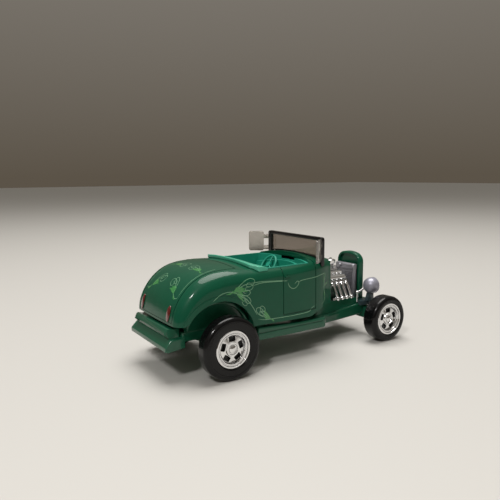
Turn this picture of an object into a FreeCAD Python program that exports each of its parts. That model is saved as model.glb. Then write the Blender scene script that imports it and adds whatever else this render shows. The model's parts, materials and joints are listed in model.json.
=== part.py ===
import FreeCAD, Part
import math
import os

# A 1:64 diecast open hot-rod car: cast body shell on a cast chassis, moulded cockpit, bare
# engine behind a radiator shell, smoked windshield, and two wheelsets that roll in the chassis.
# Millimetres. X forward, Y to the car's left, Z up, ground at z = 0.
# Everything is drawn about the middle of the wheelbase and moved to the centre of the length last.

V = FreeCAD.Vector

# ---------------------------------------------------------------- driving dimensions
WHEELBASE = 42.07
REAR_TYRE_R = 6.06
FRONT_TYRE_R = 5.18
RIM_R = 3.62
REAR_TYRE_W = 3.4
FRONT_TYRE_W = 3.74
REAR_TRACK_OUT = 13.66          # half width over the rear tyres
FRONT_TRACK_OUT = 12.94         # half width over the front tyres
AXLE_R = 0.5
AXLE_CLEARANCE = 0.05           # radial, between axle and bearing
WHEEL_SIDE_PLAY = 0.3           # from a wheel to the bearing block beside it
AXLE_SHORT = 1.1                # from a tyre's outer face in to the axle's end
CAP_R = AXLE_R + 0.1            # domed cap over the axle's end
HUB_R = AXLE_R + 0.85           # raised hub round the cap
SLOT_PLACES = 5
SLOT_R = 1.98                   # from the wheel's centre to a slot's middle
SLOT_HALF_L = 0.32              # between its middle and the centre of each round end
SLOT_HALF_H = 0.34

FRONT_AXLE_X = WHEELBASE / 2
REAR_AXLE_X = -WHEELBASE / 2

WALL = 1.0                      # cast body wall
SHOULDER_HALF_W = 10.55         # half width at the shoulder, behind the seat
SILL_LIP = 0.2                  # how far the cockpit's edge stands inboard of the wall
BODY_FRONT_X = FRONT_AXLE_X - 14.035
BODY_BASE_Z = 5.0               # where body sections start, below the trimmed sill
TAIL_HINGE_X = REAR_AXLE_X + 1.035  # tail sections fan about this cross line on the ground
GROOVE_DEPTH = 0.12
GROOVE_W = 0.2
ARCH_X = REAR_AXLE_X - 0.965
ARCH_Z = 7.2
ARCH_R = 7.5
ARCH_LIP_W = 0.95
ARCH_LIP_PROUD = 0.14
SILL_Z = 8.5
ARCH_FRONT_Z = 8.8
TAIL_EDGE_Z = 10.45
COWL_BOTTOM_Z = 10.2

COCKPIT_REAR_X = TAIL_HINGE_X + 7.0
COCKPIT_FRONT_X = BODY_FRONT_X - 4.8
COCKPIT_HALF_W = SHOULDER_HALF_W - WALL - SILL_LIP
COCKPIT_CORNER_R = 1.6
DASH_BOW = 2.2                  # how far the front edge falls back at its corners
DOOR_REAR_X = COCKPIT_REAR_X + 5.5
DOOR_FRONT_X = BODY_FRONT_X - 5.7
DOOR_LOW_Z = 10.0
LID_FRONT_X = COCKPIT_REAR_X - 4.0
LID_HALF_W = 7.7
LID_LOW_Z = 11.2

RAIL_LOW_Z = 5.6                # flat underside
RAIL_TOP_Z = 7.7                 # at mid length; the rear end stands higher
RAIL_RISE = 0.5
RAIL_OUT_Y = 10.3
RAIL_W = 1.5
RAIL_REAR_X = ARCH_X + 8.7
RAIL_FRONT_X = BODY_FRONT_X - 2.4
FLOOR_T = 1.0
FRONT_RAIL_OUT_Y = 5.3
FRONT_RAIL_W = 1.3
FRONT_RAIL_LOW_Z = 4.6
FRONT_RAIL_TOP_Z = 9.1
FRONT_FLANGE_W = 0.5
NOSE_X = FRONT_AXLE_X - 0.735
BEAM_BELOW = 1.08               # from the axle down to the beam's underside
BEAM_ABOVE = 1.02               # and up to its top at the ends
BEAM_RISE = 0.7                 # how much higher it stands between the rails
KICKUP_Z = 7.5                  # underside of the chassis over the rear axle
KICKUP_T = 0.9
PAN_HALF_W = 8.6
TANK_HALF_W = 7.5
PAN_REAR_X = REAR_AXLE_X - 11.365
PAN_LOW_Z = 6.0

RIVET_R = 0.55
RIVET_HEAD_R = 1.0
POST_R = 1.15
TUB_GAP = 0.25                  # body wall to cockpit moulding
TUB_WALL = 0.7
TUB_FLOOR_Z = 9.0
TUB_TOP_Z = 18.95
TUB_FRONT_X = COCKPIT_FRONT_X + 0.8
DOOR_CAP_T = 0.45
DOOR_CAP_Z = 19.7               # trim tops stand a little proud of the door sills
TUB_REAR_X = COCKPIT_REAR_X - 1.2
SEAT_HALF_W = 7.6
SEAT_DEPTH = 8.3
SEAT_TOP_Z = 18.2

FRONT_POST_X = (TUB_FRONT_X + BODY_FRONT_X - WALL) / 2  # midway between cockpit moulding and firewall
REAR_POST_X = REAR_AXLE_X - 4.365
RIVET_PLACES = ((FRONT_POST_X, RAIL_LOW_Z), (REAR_POST_X, KICKUP_Z))  # x, underside z

SCREEN_X = BODY_FRONT_X - 3.5
SCREEN_HALF_W = 9.75
SCREEN_TOP_Z = 24.8
POST_W = 1.25
SCREEN_BAR_H = 0.7
SCREEN_FOOT_Z = 18.7
FRAME_T = 0.9
PANE_T = 0.35
PANE_LOW_Z = 20.45
PANE_CROWN = 0.5
WING_SWEEP = 51.6               # degrees back from straight out
WING_TAB = 1.4
WING_LEN = 3.6
WING_LOW_Z = 19.9
WING_TOP_Z = 24.6
WING_T = 0.4

ENGINE_REAR_X = BODY_FRONT_X + 2.0
ENGINE_FRONT_X = ENGINE_REAR_X + 8.5
PORT_FIRST_X = ENGINE_REAR_X + 2.0
PORT_PITCH = 1.4
PORT_Z = 12.9
PORT_Y = 3.7
HEADER_R = 0.42
HEADER_END_Y = 5.6
HEADER_END_Z = 9.75
HEADER_RAKE = 0.7
CORE_REAR_X = FRONT_AXLE_X - 2.235
CORE_HALF_W = 3.15
CORE_TOP_Z = 16.7
SHELL_REAR_X = FRONT_AXLE_X - 1.085
SHELL_FRONT_X = FRONT_AXLE_X + 0.565
SHELL_HALF_W = 3.8
SHELL_TOP_Z = 19.45
SHELL_LOW_Z = 8.3                # radiator seat on the nose crossmember
SHELL_WALL = 0.6
SHELL_CORNER_R = 2.3
SHELL_WEB_T = 0.35              # closed web behind the grille
SHELL_WEB_INSET = 0.45
SHELL_DOME_R = 9.0

LAMP_X = FRONT_AXLE_X + 0.665
LAMP_Y = 6.2
LAMP_Z = 11.8
LAMP_R = 1.9
TAIL_LAMP_Y = 6.1
TAIL_LAMP_Z = 12.65
TAIL_LAMP_H = 3.0
TAIL_LAMP_W = 1.2
TAIL_LAMP_PROUD = 0.25

DOOR_MID_X = (BODY_FRONT_X + TAIL_HINGE_X - 1.0) / 2
# body sections ahead of the tail: x, top z, half width low / mid / high, shoulder radius, crown
BODY_SECTIONS = (
    (BODY_FRONT_X, 20.15, 8.55, 8.45, 8.25, 1.8, 0.4),
    (BODY_FRONT_X - 1.8, 20.5, 9.1, 9.1, 8.9, 2.1, 0.45),
    (BODY_FRONT_X - 4.0, 20.75, 9.8, 9.85, 9.7, 2.3, 0.55),
    (BODY_FRONT_X - 7.0, 20.7, 10.3, 10.4, 10.2, 2.3, 0.6),
    (DOOR_MID_X + 2.5, 20.4, 10.5, 10.7, 10.5, 2.2, 0.6),
    (DOOR_MID_X - 2.5, 20.25, 10.6, 10.8, 10.6, 2.2, 0.55),
    (TAIL_HINGE_X + 5.5, 20.35, 10.6, 10.85, 10.6, 2.6, 0.5),
    (TAIL_HINGE_X, 20.4, 10.6, 10.85, SHOULDER_HALF_W, 3.0, 0.4),
)
# tail sections: the deck centre line's setback behind the hinge line and its z, then the same
# five widths and radii
TAIL_SECTIONS = (
    (3.5, 19.95, 10.6, 10.8, 10.5, 3.0, 0.4),
    (6.2, 18.8, 10.6, 10.75, 10.4, 2.9, 0.4),
    (8.2, 17.15, 10.6, 10.7, 10.3, 2.8, 0.4),
    (9.85, 14.9, 10.5, 10.6, 10.2, 2.7, 0.4),
    (10.65, 12.7, 10.5, 10.6, 10.1, 2.5, 0.3),
    (10.85, 11.4, 10.4, 10.5, 10.0, 2.4, 0.25),
    (10.75, 9.8, 10.4, 10.4, 9.9, 2.4, 0.25),
    (10.4, 8.6, 10.3, 10.3, 9.8, 2.4, 0.25),
)
TAIL_BEHIND_X = TAIL_HINGE_X - 13.0  # clear of the tail

# the pan's rear face and the front tyres' leading edge end the length
FRAME_SHIFT = -(PAN_REAR_X + FRONT_AXLE_X + FRONT_TYRE_R) / 2


# ---------------------------------------------------------------- small shape helpers
def box(x0, x1, y0, y1, z0, z1):
    return Part.makeBox(x1 - x0, y1 - y0, z1 - z0, V(x0, y0, z0))


def cylinder(start, end, radius):
    axis = end - start
    return Part.makeCylinder(radius, axis.Length, start, axis)


def cross_cylinder(x, z, radius, y0, y1):
    return cylinder(V(x, y0, z), V(x, y1, z), radius)


def polygon_face(points):
    return Part.Face(Part.makePolygon(list(points) + [points[0]]))


def side_prism(outline, y0, y1):
    """Solid from an (x, z) outline, between two y planes."""
    face = polygon_face([V(x, y0, z) for x, z in outline])
    return face.extrude(V(0, y1 - y0, 0))


def plan_prism(outline, z0, z1):
    """Solid from an (x, y) outline, between two z planes."""
    face = polygon_face([V(x, y, z0) for x, y in outline])
    return face.extrude(V(0, 0, z1 - z0))


def end_prism(outline, x0, x1):
    """Solid from a (y, z) outline, between two x planes."""
    face = polygon_face([V(x0, y, z) for y, z in outline])
    return face.extrude(V(x1 - x0, 0, 0))


def mirrored(shape):
    return shape.mirror(V(0, 0, 0), V(0, 1, 0))


def both_sides(shape):
    return [shape, mirrored(shape)]


def fused(shapes):
    whole = shapes[0].fuse(list(shapes[1:])) if len(shapes) > 1 else shapes[0]
    return whole.removeSplitter()


def edges_where(shape, test):
    """Edges whose every sample point passes the test."""
    chosen = []
    for edge in shape.Edges:
        points = edge.discretize(5)
        if all(test(p) for p in points):
            chosen.append(edge)
    return chosen


def rounded_box(x0, x1, y0, y1, z0, z1, radius):
    solid = box(x0, x1, y0, y1, z0, z1)
    return solid.makeFillet(radius, solid.Edges)


def tube_path(points, radius):
    """Round bar along straight runs with ball joints at its corners."""
    pieces = []
    for start, end in zip(points[:-1], points[1:]):
        pieces.append(cylinder(start, end, radius))
    for point in points[1:-1]:
        pieces.append(Part.makeSphere(radius, point))
    return fused(pieces)


# ---------------------------------------------------------------- body surface
def section_half(v_base, v_top, low, mid, high, radius, crown):
    """Half of a body section as (y, v) points, from the sill up over the shoulder to the centre."""
    lean = math.atan2(2 * crown, high - radius)
    arc_end = math.pi / 2 - lean
    v_shoulder = v_top - crown - radius * math.sin(arc_end)
    points = []
    for i in range(5):
        t = i / 5
        y = low * (1 - t) ** 2 + 2 * mid * t * (1 - t) + high * t ** 2
        points.append((y, v_base + (v_shoulder - v_base) * t))
    for i in range(6):
        angle = arc_end * i / 5
        points.append((high - radius + radius * math.cos(angle), v_shoulder + radius * math.sin(angle)))
    y_end = points[-1][0]
    for i in (1, 2):
        y = y_end * (1 - i / 3)
        points.append((y, v_top - crown * (y / y_end) ** 2))
    return points


def section_wire(hinge_x, angle, v_top, low, mid, high, radius, crown, inset):
    """Closed body section in a plane that leans back by angle about a cross line at hinge_x."""
    v_base = BODY_BASE_Z / math.cos(angle)
    half = section_half(v_base, v_top - inset, low - inset, mid - inset, high - inset,
                        radius - 0.8 * inset, crown)
    outline = half + [(0, v_top - inset)] + [(-y, v) for y, v in reversed(half)]
    points = [V(hinge_x - v * math.sin(angle), y, v * math.cos(angle)) for y, v in outline]
    count = len(points) - 1
    curve = Part.BSplineCurve()
    curve.interpolate(Points=points, Parameters=[i / count for i in range(count + 1)])
    return Part.Wire([curve.toShape(), Part.makeLine(points[-1], points[0])])


def body_solid(inset):
    """The whole body outline as one solid, shrunk by inset on every side but its front."""
    wires = []
    for x, top, low, mid, high, radius, crown in BODY_SECTIONS:
        wires.append(section_wire(x, 0, top, low, mid, high, radius, crown, inset))
    for setback, z, low, mid, high, radius, crown in TAIL_SECTIONS:
        angle = math.atan2(setback, z)
        reach = math.hypot(setback, z)
        wires.append(section_wire(TAIL_HINGE_X, angle, reach, low, mid, high, radius, crown, inset))
    return Part.makeLoft(wires, True, False)


def below_body():
    """Everything under the body's lower edge, with the wheel arches."""
    outline = (
        (BODY_FRONT_X + 2, 0), (BODY_FRONT_X + 2, COWL_BOTTOM_Z), (BODY_FRONT_X - 1.8, COWL_BOTTOM_Z),
        (BODY_FRONT_X - 4.3, 9.5), (BODY_FRONT_X - 7.0, SILL_Z), (ARCH_X + 7.6, ARCH_FRONT_Z),
        (ARCH_X, ARCH_FRONT_Z), (ARCH_X - 6.35, 11.2), (ARCH_X - 7.2, 10.8), (TAIL_BEHIND_X, TAIL_EDGE_Z),
        (TAIL_BEHIND_X, 0),
    )
    arch = cross_cylinder(ARCH_X, ARCH_Z, ARCH_R, -20, 20)
    return fused([side_prism(outline, -20, 20), arch])


def cockpit_outline(grow):
    """Plan of the cockpit opening: square rear corners rounded, front edge bowed."""
    side = COCKPIT_HALF_W + grow
    rear = COCKPIT_REAR_X - grow
    front = COCKPIT_FRONT_X + grow
    r = COCKPIT_CORNER_R
    diagonal = r * (1 - math.sqrt(0.5))
    corner_x = front - DASH_BOW

    def at(x, y):
        return V(x, y, 0)
    edges = [
        Part.makeLine(at(corner_x, -side), at(rear + r, -side)),
        Part.Arc(at(rear + r, -side), at(rear + diagonal, -side + diagonal), at(rear, -side + r)).toShape(),
        Part.makeLine(at(rear, -side + r), at(rear, side - r)),
        Part.Arc(at(rear, side - r), at(rear + diagonal, side - diagonal), at(rear + r, side)).toShape(),
        Part.makeLine(at(rear + r, side), at(corner_x, side)),
        Part.Arc(at(corner_x, side), at(front, 0), at(corner_x, -side)).toShape(),
    ]
    return Part.Wire(edges)


def cockpit_cut(grow, z0, z1):
    face = Part.Face(cockpit_outline(grow))
    face.translate(V(0, 0, z0))
    return face.extrude(V(0, 0, z1 - z0))


def line_bands():
    """Thin upright slabs that mark the door gaps and the deck-lid gap."""
    half = GROOVE_W / 2
    door_top = 22.0
    bands = [
        box(DOOR_REAR_X - half, DOOR_REAR_X + half, -20, 20, DOOR_LOW_Z, door_top),
        box(DOOR_FRONT_X - half, DOOR_FRONT_X + half, -20, 20, DOOR_LOW_Z, door_top),
        box(DOOR_REAR_X, DOOR_FRONT_X, -20, 20, DOOR_LOW_Z - half, DOOR_LOW_Z + half),
        box(LID_FRONT_X - half, LID_FRONT_X + half, -LID_HALF_W, LID_HALF_W, 18, 24),
        box(TAIL_BEHIND_X, TAIL_HINGE_X - 9.6, -LID_HALF_W, LID_HALF_W, LID_LOW_Z - half, LID_LOW_Z + half),
    ]
    for side in (-1, 1):
        y = side * LID_HALF_W
        bands.append(box(TAIL_BEHIND_X, LID_FRONT_X, y - half, y + half, LID_LOW_Z, 24))
    return bands


def make_body_shell():
    outer = body_solid(0)
    lip_ring = cross_cylinder(ARCH_X, ARCH_Z, ARCH_R + ARCH_LIP_W, -20, 20)
    lip = body_solid(-ARCH_LIP_PROUD).common(lip_ring)
    shape = outer.fuse(lip)
    skin = outer.cut(body_solid(GROOVE_DEPTH))
    for band in line_bands():
        shape = shape.cut(band.common(skin))
    hollow = body_solid(WALL).common(box(TAIL_BEHIND_X, BODY_FRONT_X - WALL, -20, 20, 0, 30))
    shape = shape.cut(hollow)
    shape = shape.cut(cockpit_cut(0, 15, 30))
    shape = shape.cut(below_body())
    posts = []
    for x, foot_z in ((FRONT_POST_X, RAIL_LOW_Z + FLOOR_T), (REAR_POST_X, KICKUP_Z + KICKUP_T)):
        post = cylinder(V(x, 0, foot_z), V(x, 0, 25), POST_R).common(body_solid(WALL / 2))
        posts.append(post.cut(cylinder(V(x, 0, foot_z), V(x, 0, foot_z + 3), RIVET_R)))
    return fused([shape] + posts)

# ---------------------------------------------------------------- chassis
def front_rail():
    """One front rail: a tall inner wall, and a lower outer flange that rises to the nose."""
    y0 = -FRONT_RAIL_OUT_Y
    y1 = y0 + FRONT_FLANGE_W
    rear = BODY_FRONT_X - 1.4
    wall = side_prism((
        (rear, FRONT_RAIL_LOW_Z + 0.5), (rear + 1, FRONT_RAIL_LOW_Z), (NOSE_X - 2.1, FRONT_RAIL_LOW_Z + 0.3),
        (NOSE_X, 6.8), (NOSE_X, 8.2), (NOSE_X - 2.5, FRONT_RAIL_TOP_Z), (BODY_FRONT_X + 0.4, FRONT_RAIL_TOP_Z),
        (BODY_FRONT_X - 0.6, COWL_BOTTOM_Z - 0.3), (rear, COWL_BOTTOM_Z - 0.3),
    ), y1, y0 + FRONT_RAIL_W)
    flange = side_prism((
        (rear, FRONT_RAIL_LOW_Z + 0.4), (rear + 1, FRONT_RAIL_LOW_Z - 0.3), (NOSE_X - 6.0, FRONT_RAIL_LOW_Z + 0.1),
        (NOSE_X - 1.0, FRONT_RAIL_LOW_Z + 0.4), (NOSE_X, FRONT_RAIL_LOW_Z + 1.0), (NOSE_X, 7.3),
        (NOSE_X - 0.8, 7.65), (NOSE_X - 6.0, 7.15), (BODY_FRONT_X + 2.2, 6.4), (rear, 6.4),
    ), y0, y1)
    outer = edges_where(flange, lambda p: p.y < y0 + 0.01 and p.x > rear + 0.2)
    return fused([wall, flange.makeFillet(0.3, outer)])


def side_rail():
    """One side rail: rounded nose, top rising to the rear, a step line pressed along its outer face."""
    y0 = -RAIL_OUT_Y
    middle = (RAIL_REAR_X + RAIL_FRONT_X) / 2
    rail = side_prism((
        (RAIL_REAR_X, RAIL_LOW_Z), (RAIL_FRONT_X, RAIL_LOW_Z), (RAIL_FRONT_X, RAIL_TOP_Z - 0.1),
        (middle, RAIL_TOP_Z), (RAIL_REAR_X, RAIL_TOP_Z + RAIL_RISE),
    ), y0, y0 + RAIL_W)
    nose = [e for e in rail.Edges if abs(e.CenterOfMass.x - RAIL_FRONT_X) < 0.01
            and abs(e.CenterOfMass.y - y0) < 0.01]
    rail = rail.makeFillet(1.2, nose)
    outer = edges_where(rail, lambda p: p.y < y0 + 0.01)
    rail = rail.makeFillet(0.4, [e for e in outer if e.CenterOfMass.z > RAIL_TOP_Z - 0.15])
    step_z = (RAIL_LOW_Z + RAIL_TOP_Z) / 2 + 0.25
    step = box(RAIL_REAR_X - 1, RAIL_FRONT_X - 1.4, y0 - 1, y0 + 0.15, step_z, step_z + 0.18)
    return rail.cut(step)


def wheel_tub():
    """Inner wall that closes the rear wheel arch, right side."""
    inner = PAN_HALF_W - 0.9
    ring = cross_cylinder(ARCH_X, ARCH_Z, ARCH_R - 0.3, -inner - 0.5, -inner)
    keep = box(ARCH_X - 6.4, ARCH_X + 7.1, -20, 0, KICKUP_Z, 30)
    roof = cross_cylinder(ARCH_X, ARCH_Z, ARCH_R - 0.3, -9.4, -inner)
    roof = roof.cut(cross_cylinder(ARCH_X, ARCH_Z, ARCH_R - 0.7, -9.4, -inner))
    return fused([ring, roof]).common(keep)


def rear_pan():
    """Fuel tank bar with a recessed rear panel, on a stepped lower pan."""
    x = PAN_REAR_X
    tank = side_prism(((x + 0.4, 9.1), (x + 0.9, 10.1), (x + 1.2, 10.2), (x + 2.1, 10.0), (x + 3.3, 10.0),
                       (x + 3.3, 8.1), (x + 1.4, 8.1)), -TANK_HALF_W, TANK_HALF_W)
    pan = side_prism(((x, 7.0), (x + 1.2, 8.25), (x + 4.0, 8.4), (x + 4.0, 6.4), (x + 0.5, PAN_LOW_Z),
                      (x, PAN_LOW_Z + 0.25)), -PAN_HALF_W, PAN_HALF_W)
    whole = fused([tank, pan])
    ends = [e for e in whole.Edges if abs(abs(e.CenterOfMass.y) - PAN_HALF_W) < 0.01]
    whole = whole.makeFillet(0.22, ends)
    panel = box(x - 1, x + 1.05, -TANK_HALF_W + 0.8, TANK_HALF_W - 0.8, 8.3, 9.3)
    return whole.cut(panel)


def nose_crossmember():
    """Cross piece between the front rails that carries the radiator."""
    half = FRONT_RAIL_OUT_Y - FRONT_RAIL_W
    return box(NOSE_X - 2.3, NOSE_X + 2.3, -half, half, 6.9, SHELL_LOW_Z)


def rear_axle_seats():
    """Two bearing blocks, the round gear housing between them and its neck, all in one line."""
    x = REAR_AXLE_X
    out_y = REAR_TRACK_OUT - REAR_TYRE_W - WHEEL_SIDE_PLAY
    block = side_prism(((x - 1.5, REAR_TYRE_R - 1.16), (x + 1.5, REAR_TYRE_R - 1.16),
                        (x + 1.9, KICKUP_Z + 0.3), (x - 1.9, KICKUP_Z + 0.3)), -out_y, -2.6)
    housing = Part.makeSphere(1.75, V(x, 0, REAR_TYRE_R))
    neck = box(x - 1.2, x + 1.2, -2.7, 2.7, REAR_TYRE_R - 0.8, KICKUP_Z + 0.2)
    return both_sides(block) + [housing, neck]


def make_chassis():
    pieces = both_sides(side_rail()) + both_sides(front_rail()) + both_sides(wheel_tub())
    side, nose = RAIL_OUT_Y - RAIL_W + 0.2, FRONT_RAIL_OUT_Y
    kick_x = REAR_AXLE_X + 3.4
    narrow_x = RAIL_FRONT_X - 2.3
    belly = ((kick_x, -side), (narrow_x, -side), (BODY_FRONT_X - 0.8, -nose), (BODY_FRONT_X - 0.8, nose),
             (narrow_x, side), (kick_x, side))
    pieces.append(plan_prism(belly, RAIL_LOW_Z, RAIL_LOW_Z + FLOOR_T))
    front_in = FRONT_RAIL_OUT_Y - FRONT_RAIL_W
    floor_z = FRONT_RAIL_LOW_Z + 0.3
    pieces.append(box(BODY_FRONT_X - 1.4, NOSE_X - 2.1, -front_in, front_in, floor_z, floor_z + FLOOR_T))
    kick = ((kick_x, RAIL_LOW_Z), (kick_x + 1.2, RAIL_LOW_Z), (kick_x + 1.2, RAIL_LOW_Z + FLOOR_T),
            (kick_x - 0.4, KICKUP_Z + KICKUP_T), (PAN_REAR_X + 3.2, KICKUP_Z + KICKUP_T),
            (PAN_REAR_X + 3.2, KICKUP_Z), (kick_x - 0.8, KICKUP_Z))
    inner = PAN_HALF_W - 0.4
    pieces.append(side_prism(kick, -inner, inner))
    pieces.append(rear_pan())
    horn = rounded_box(PAN_REAR_X + 3.5, REAR_AXLE_X + 1.5, -PAN_HALF_W + 0.3, -PAN_HALF_W + 1.5,
                       KICKUP_Z + 0.1, 9.35, 0.25)
    pieces.extend(both_sides(horn))
    pieces.append(nose_crossmember())
    pieces.extend(rear_axle_seats())
    shape = fused(pieces)
    bore = AXLE_R + AXLE_CLEARANCE
    shape = shape.cut(cross_cylinder(REAR_AXLE_X, REAR_TYRE_R, bore, -15, 15))
    shape = shape.cut(front_beam_solid(0))
    for x, face_z in RIVET_PLACES:
        shape = shape.cut(cylinder(V(x, 0, face_z - 1), V(x, 0, face_z + 3), RIVET_R))
        shape = shape.cut(cylinder(V(x, 0, face_z - 1), V(x, 0, face_z + 0.5), RIVET_HEAD_R))
    return shape


def make_base_rivets():
    """Two rivets that hold the chassis to the body's posts."""
    rivets = []
    for x, face_z in RIVET_PLACES:
        pin = cylinder(V(x, 0, face_z + 0.15), V(x, 0, face_z + 3), RIVET_R)
        head = cylinder(V(x, 0, face_z + 0.1), V(x, 0, face_z + 0.5), RIVET_HEAD_R)
        rivets.append(fused([pin, head]).cut(Part.makeSphere(0.45, V(x, 0, face_z + 0.05))))
    return Part.makeCompound(rivets)


def front_beam_solid(bore_r):
    """Dropped cross beam that carries the front axle; bore_r of 0 leaves it solid."""
    out_y = FRONT_TRACK_OUT - FRONT_TYRE_W - WHEEL_SIDE_PLAY
    low = FRONT_TYRE_R - BEAM_BELOW
    eye = FRONT_TYRE_R + BEAM_ABOVE
    top = eye + BEAM_RISE
    outline = ((-out_y, low), (out_y, low), (out_y, eye), (6.6, eye), (5.4, top), (-5.4, top),
               (-6.6, eye), (-out_y, eye))
    beam = end_prism(outline, FRONT_AXLE_X - 1.0, FRONT_AXLE_X + 1.0)
    if bore_r:
        beam = beam.cut(cross_cylinder(FRONT_AXLE_X, FRONT_TYRE_R, bore_r, -15, 15))
    return beam


def make_front_beam():
    return front_beam_solid(AXLE_R + AXLE_CLEARANCE)


# ---------------------------------------------------------------- cockpit
def door_caps():
    """Trim strips along the tops of the door panels, a little proud of the sills."""
    caps = cockpit_cut(-0.05, TUB_TOP_Z - 1.2, DOOR_CAP_Z).cut(cockpit_cut(-DOOR_CAP_T, 0, 30))
    return caps.common(box(COCKPIT_REAR_X + COCKPIT_CORNER_R + 0.2, DOOR_FRONT_X + 0.3, -20, 20, 0, 30))


def make_interior_tub():
    """Floor, door panels and bulkheads in one moulding inside the body walls."""
    space = box(TUB_REAR_X, TUB_FRONT_X, -20, 20, TUB_FLOOR_Z, TUB_TOP_Z)
    hollow = box(TUB_REAR_X + TUB_WALL, TUB_FRONT_X - TUB_WALL, -20, 20, TUB_FLOOR_Z + TUB_WALL, 30)
    gap = WALL + TUB_GAP
    outer = body_solid(gap).common(space)
    inner = body_solid(gap + TUB_WALL).common(hollow)
    shape = outer.cut(inner)
    shape = shape.cut(cockpit_cut(-DOOR_CAP_T, TUB_TOP_Z - 3, TUB_TOP_Z + 1))
    return fused([shape, door_caps()])


def make_bench_seat():
    """Seat cushion and raked back, with the sewn pleats pressed in."""
    y = SEAT_HALF_W
    rear = TUB_REAR_X + TUB_WALL
    floor = TUB_FLOOR_Z + TUB_WALL
    front = rear + SEAT_DEPTH
    cushion = side_prism(((rear, floor), (front, floor), (front + 0.3, floor + 2.2), (front - 0.4, floor + 2.9),
                          (rear + 3.1, floor + 2.4), (rear, floor + 2.4)), -y, y)
    back = side_prism(((rear, floor + 2.4), (rear + 3.3, floor + 2.4), (rear + 2.3, SEAT_TOP_Z - 0.6),
                       (rear + 1.6, SEAT_TOP_Z), (rear, SEAT_TOP_Z)), -y, y)
    seat = fused([cushion, back])
    exposed = edges_where(seat, lambda p: p.x > rear + 1.3 and p.z > floor + 2.1)
    seat = seat.makeFillet(0.35, [e for e in exposed if abs(abs(e.CenterOfMass.y) - y) > 0.01])
    for i in range(1, 8):
        pleat_y = -y + 2 * y * i / 8
        seat = seat.cut(box(front - 0.1, front + 0.5, pleat_y - 0.08, pleat_y + 0.08, floor, floor + 2.6))
    return seat.common(body_solid(WALL + TUB_GAP + TUB_WALL))


def make_dashboard():
    """Curved dash pad under the cowl's rear edge, with the column's hole."""
    dash = box(COCKPIT_FRONT_X - 3.7, TUB_FRONT_X - TUB_WALL, -20, 20, 15.6, TUB_TOP_Z)
    dash = dash.common(body_solid(WALL + TUB_GAP + TUB_WALL))
    bow_x = COCKPIT_FRONT_X - 12.6
    bowed = cylinder(V(bow_x, 0, 0), V(bow_x, 0, 40), 11.6)
    dash = dash.cut(bowed)
    start, end = column_line()
    return dash.cut(cylinder(start, end, COLUMN_R)).cut(door_caps())


WHEEL_CENTRE = V(COCKPIT_FRONT_X - 3.4, 3.6, 17.7)
WHEEL_TILT = 55                 # degrees of the column above level
WHEEL_RING_R = 2.3
COLUMN_R = 0.28
ROLL_PROUD = 0.95               # at the rear; the arms sink into the shoulders at their tips
ROLL_TIP_PROUD = 0.3


def column_axis():
    tilt = math.radians(90 - WHEEL_TILT)
    return V(math.cos(tilt), 0, -math.sin(tilt))


def column_line():
    axis = column_axis()
    return WHEEL_CENTRE + axis * 0.2, WHEEL_CENTRE + axis * 3.4


def make_steering_column():
    start, end = column_line()
    return cylinder(start, end, COLUMN_R)


def make_steering_wheel():
    """Ring, hub and three spokes, square to the column."""
    axis = column_axis()
    ring = Part.makeTorus(WHEEL_RING_R, 0.24, WHEEL_CENTRE, axis)
    hub = cylinder(WHEEL_CENTRE - axis * 0.2, WHEEL_CENTRE + axis * 0.2, 0.6)
    across = V(0, 1, 0)
    upward = axis.cross(across)
    spokes = []
    for turn in (0, 120, 240):
        angle = math.radians(turn + 90)
        reach = across * math.cos(angle) + upward * math.sin(angle)
        spokes.append(cylinder(WHEEL_CENTRE, WHEEL_CENTRE + reach * WHEEL_RING_R, 0.17))
    return fused([ring, hub] + spokes)


def make_tonneau_roll():
    """Padded roll across the rear of the cockpit; its arms follow the shoulders forward."""
    side = COCKPIT_HALF_W + 0.5
    rear = COCKPIT_REAR_X - 1.25
    inner = COCKPIT_HALF_W - 0.7
    tip = COCKPIT_REAR_X + 2.2
    outline = ((rear, -side + 1.4), (rear, side - 1.4), (rear + 1.4, side), (tip, side),
               (tip + 0.5, side - 0.5), (tip, inner), (rear + 2.6, inner), (rear + 1.7, inner - 1.4),
               (rear + 1.7, -inner + 1.4), (rear + 2.6, -inner), (tip, -inner), (tip + 0.5, -side + 0.5),
               (tip, -side), (rear + 1.4, -side))
    roll = plan_prism(outline, 16, 25).common(body_solid(-ROLL_PROUD))
    tip_end = tip + 0.5
    shed = side_prism(((rear + 1.7, 30), (rear + 1.7, 21.0), (tip_end, 19.2 + ROLL_TIP_PROUD), (tip_end, 30)), -20, 20)
    return roll.cut(shed).cut(body_solid(0)).cut(make_interior_tub())


# ---------------------------------------------------------------- windshield
def screen_slab(half_w, low_z, top_z, thickness):
    return box(SCREEN_X - thickness / 2, SCREEN_X + thickness / 2, -half_w, half_w, low_z, top_z)


def pane_outline(grow):
    """Pane edge in the windshield's plane; its foot follows the cowl's crown."""
    half = SCREEN_HALF_W - POST_W + grow
    top = SCREEN_TOP_Z - SCREEN_BAR_H + grow
    low = PANE_LOW_Z - grow

    def at(y, z):
        return V(SCREEN_X - 3, y, z)
    return Part.Wire([
        Part.makeLine(at(-half, low), at(-half, top)),
        Part.makeLine(at(-half, top), at(half, top)),
        Part.makeLine(at(half, top), at(half, low)),
        Part.Arc(at(half, low), at(0, low + PANE_CROWN), at(-half, low)).toShape(),
    ])


def pane_prism(grow):
    return Part.Face(pane_outline(grow)).extrude(V(6, 0, 0))


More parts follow.
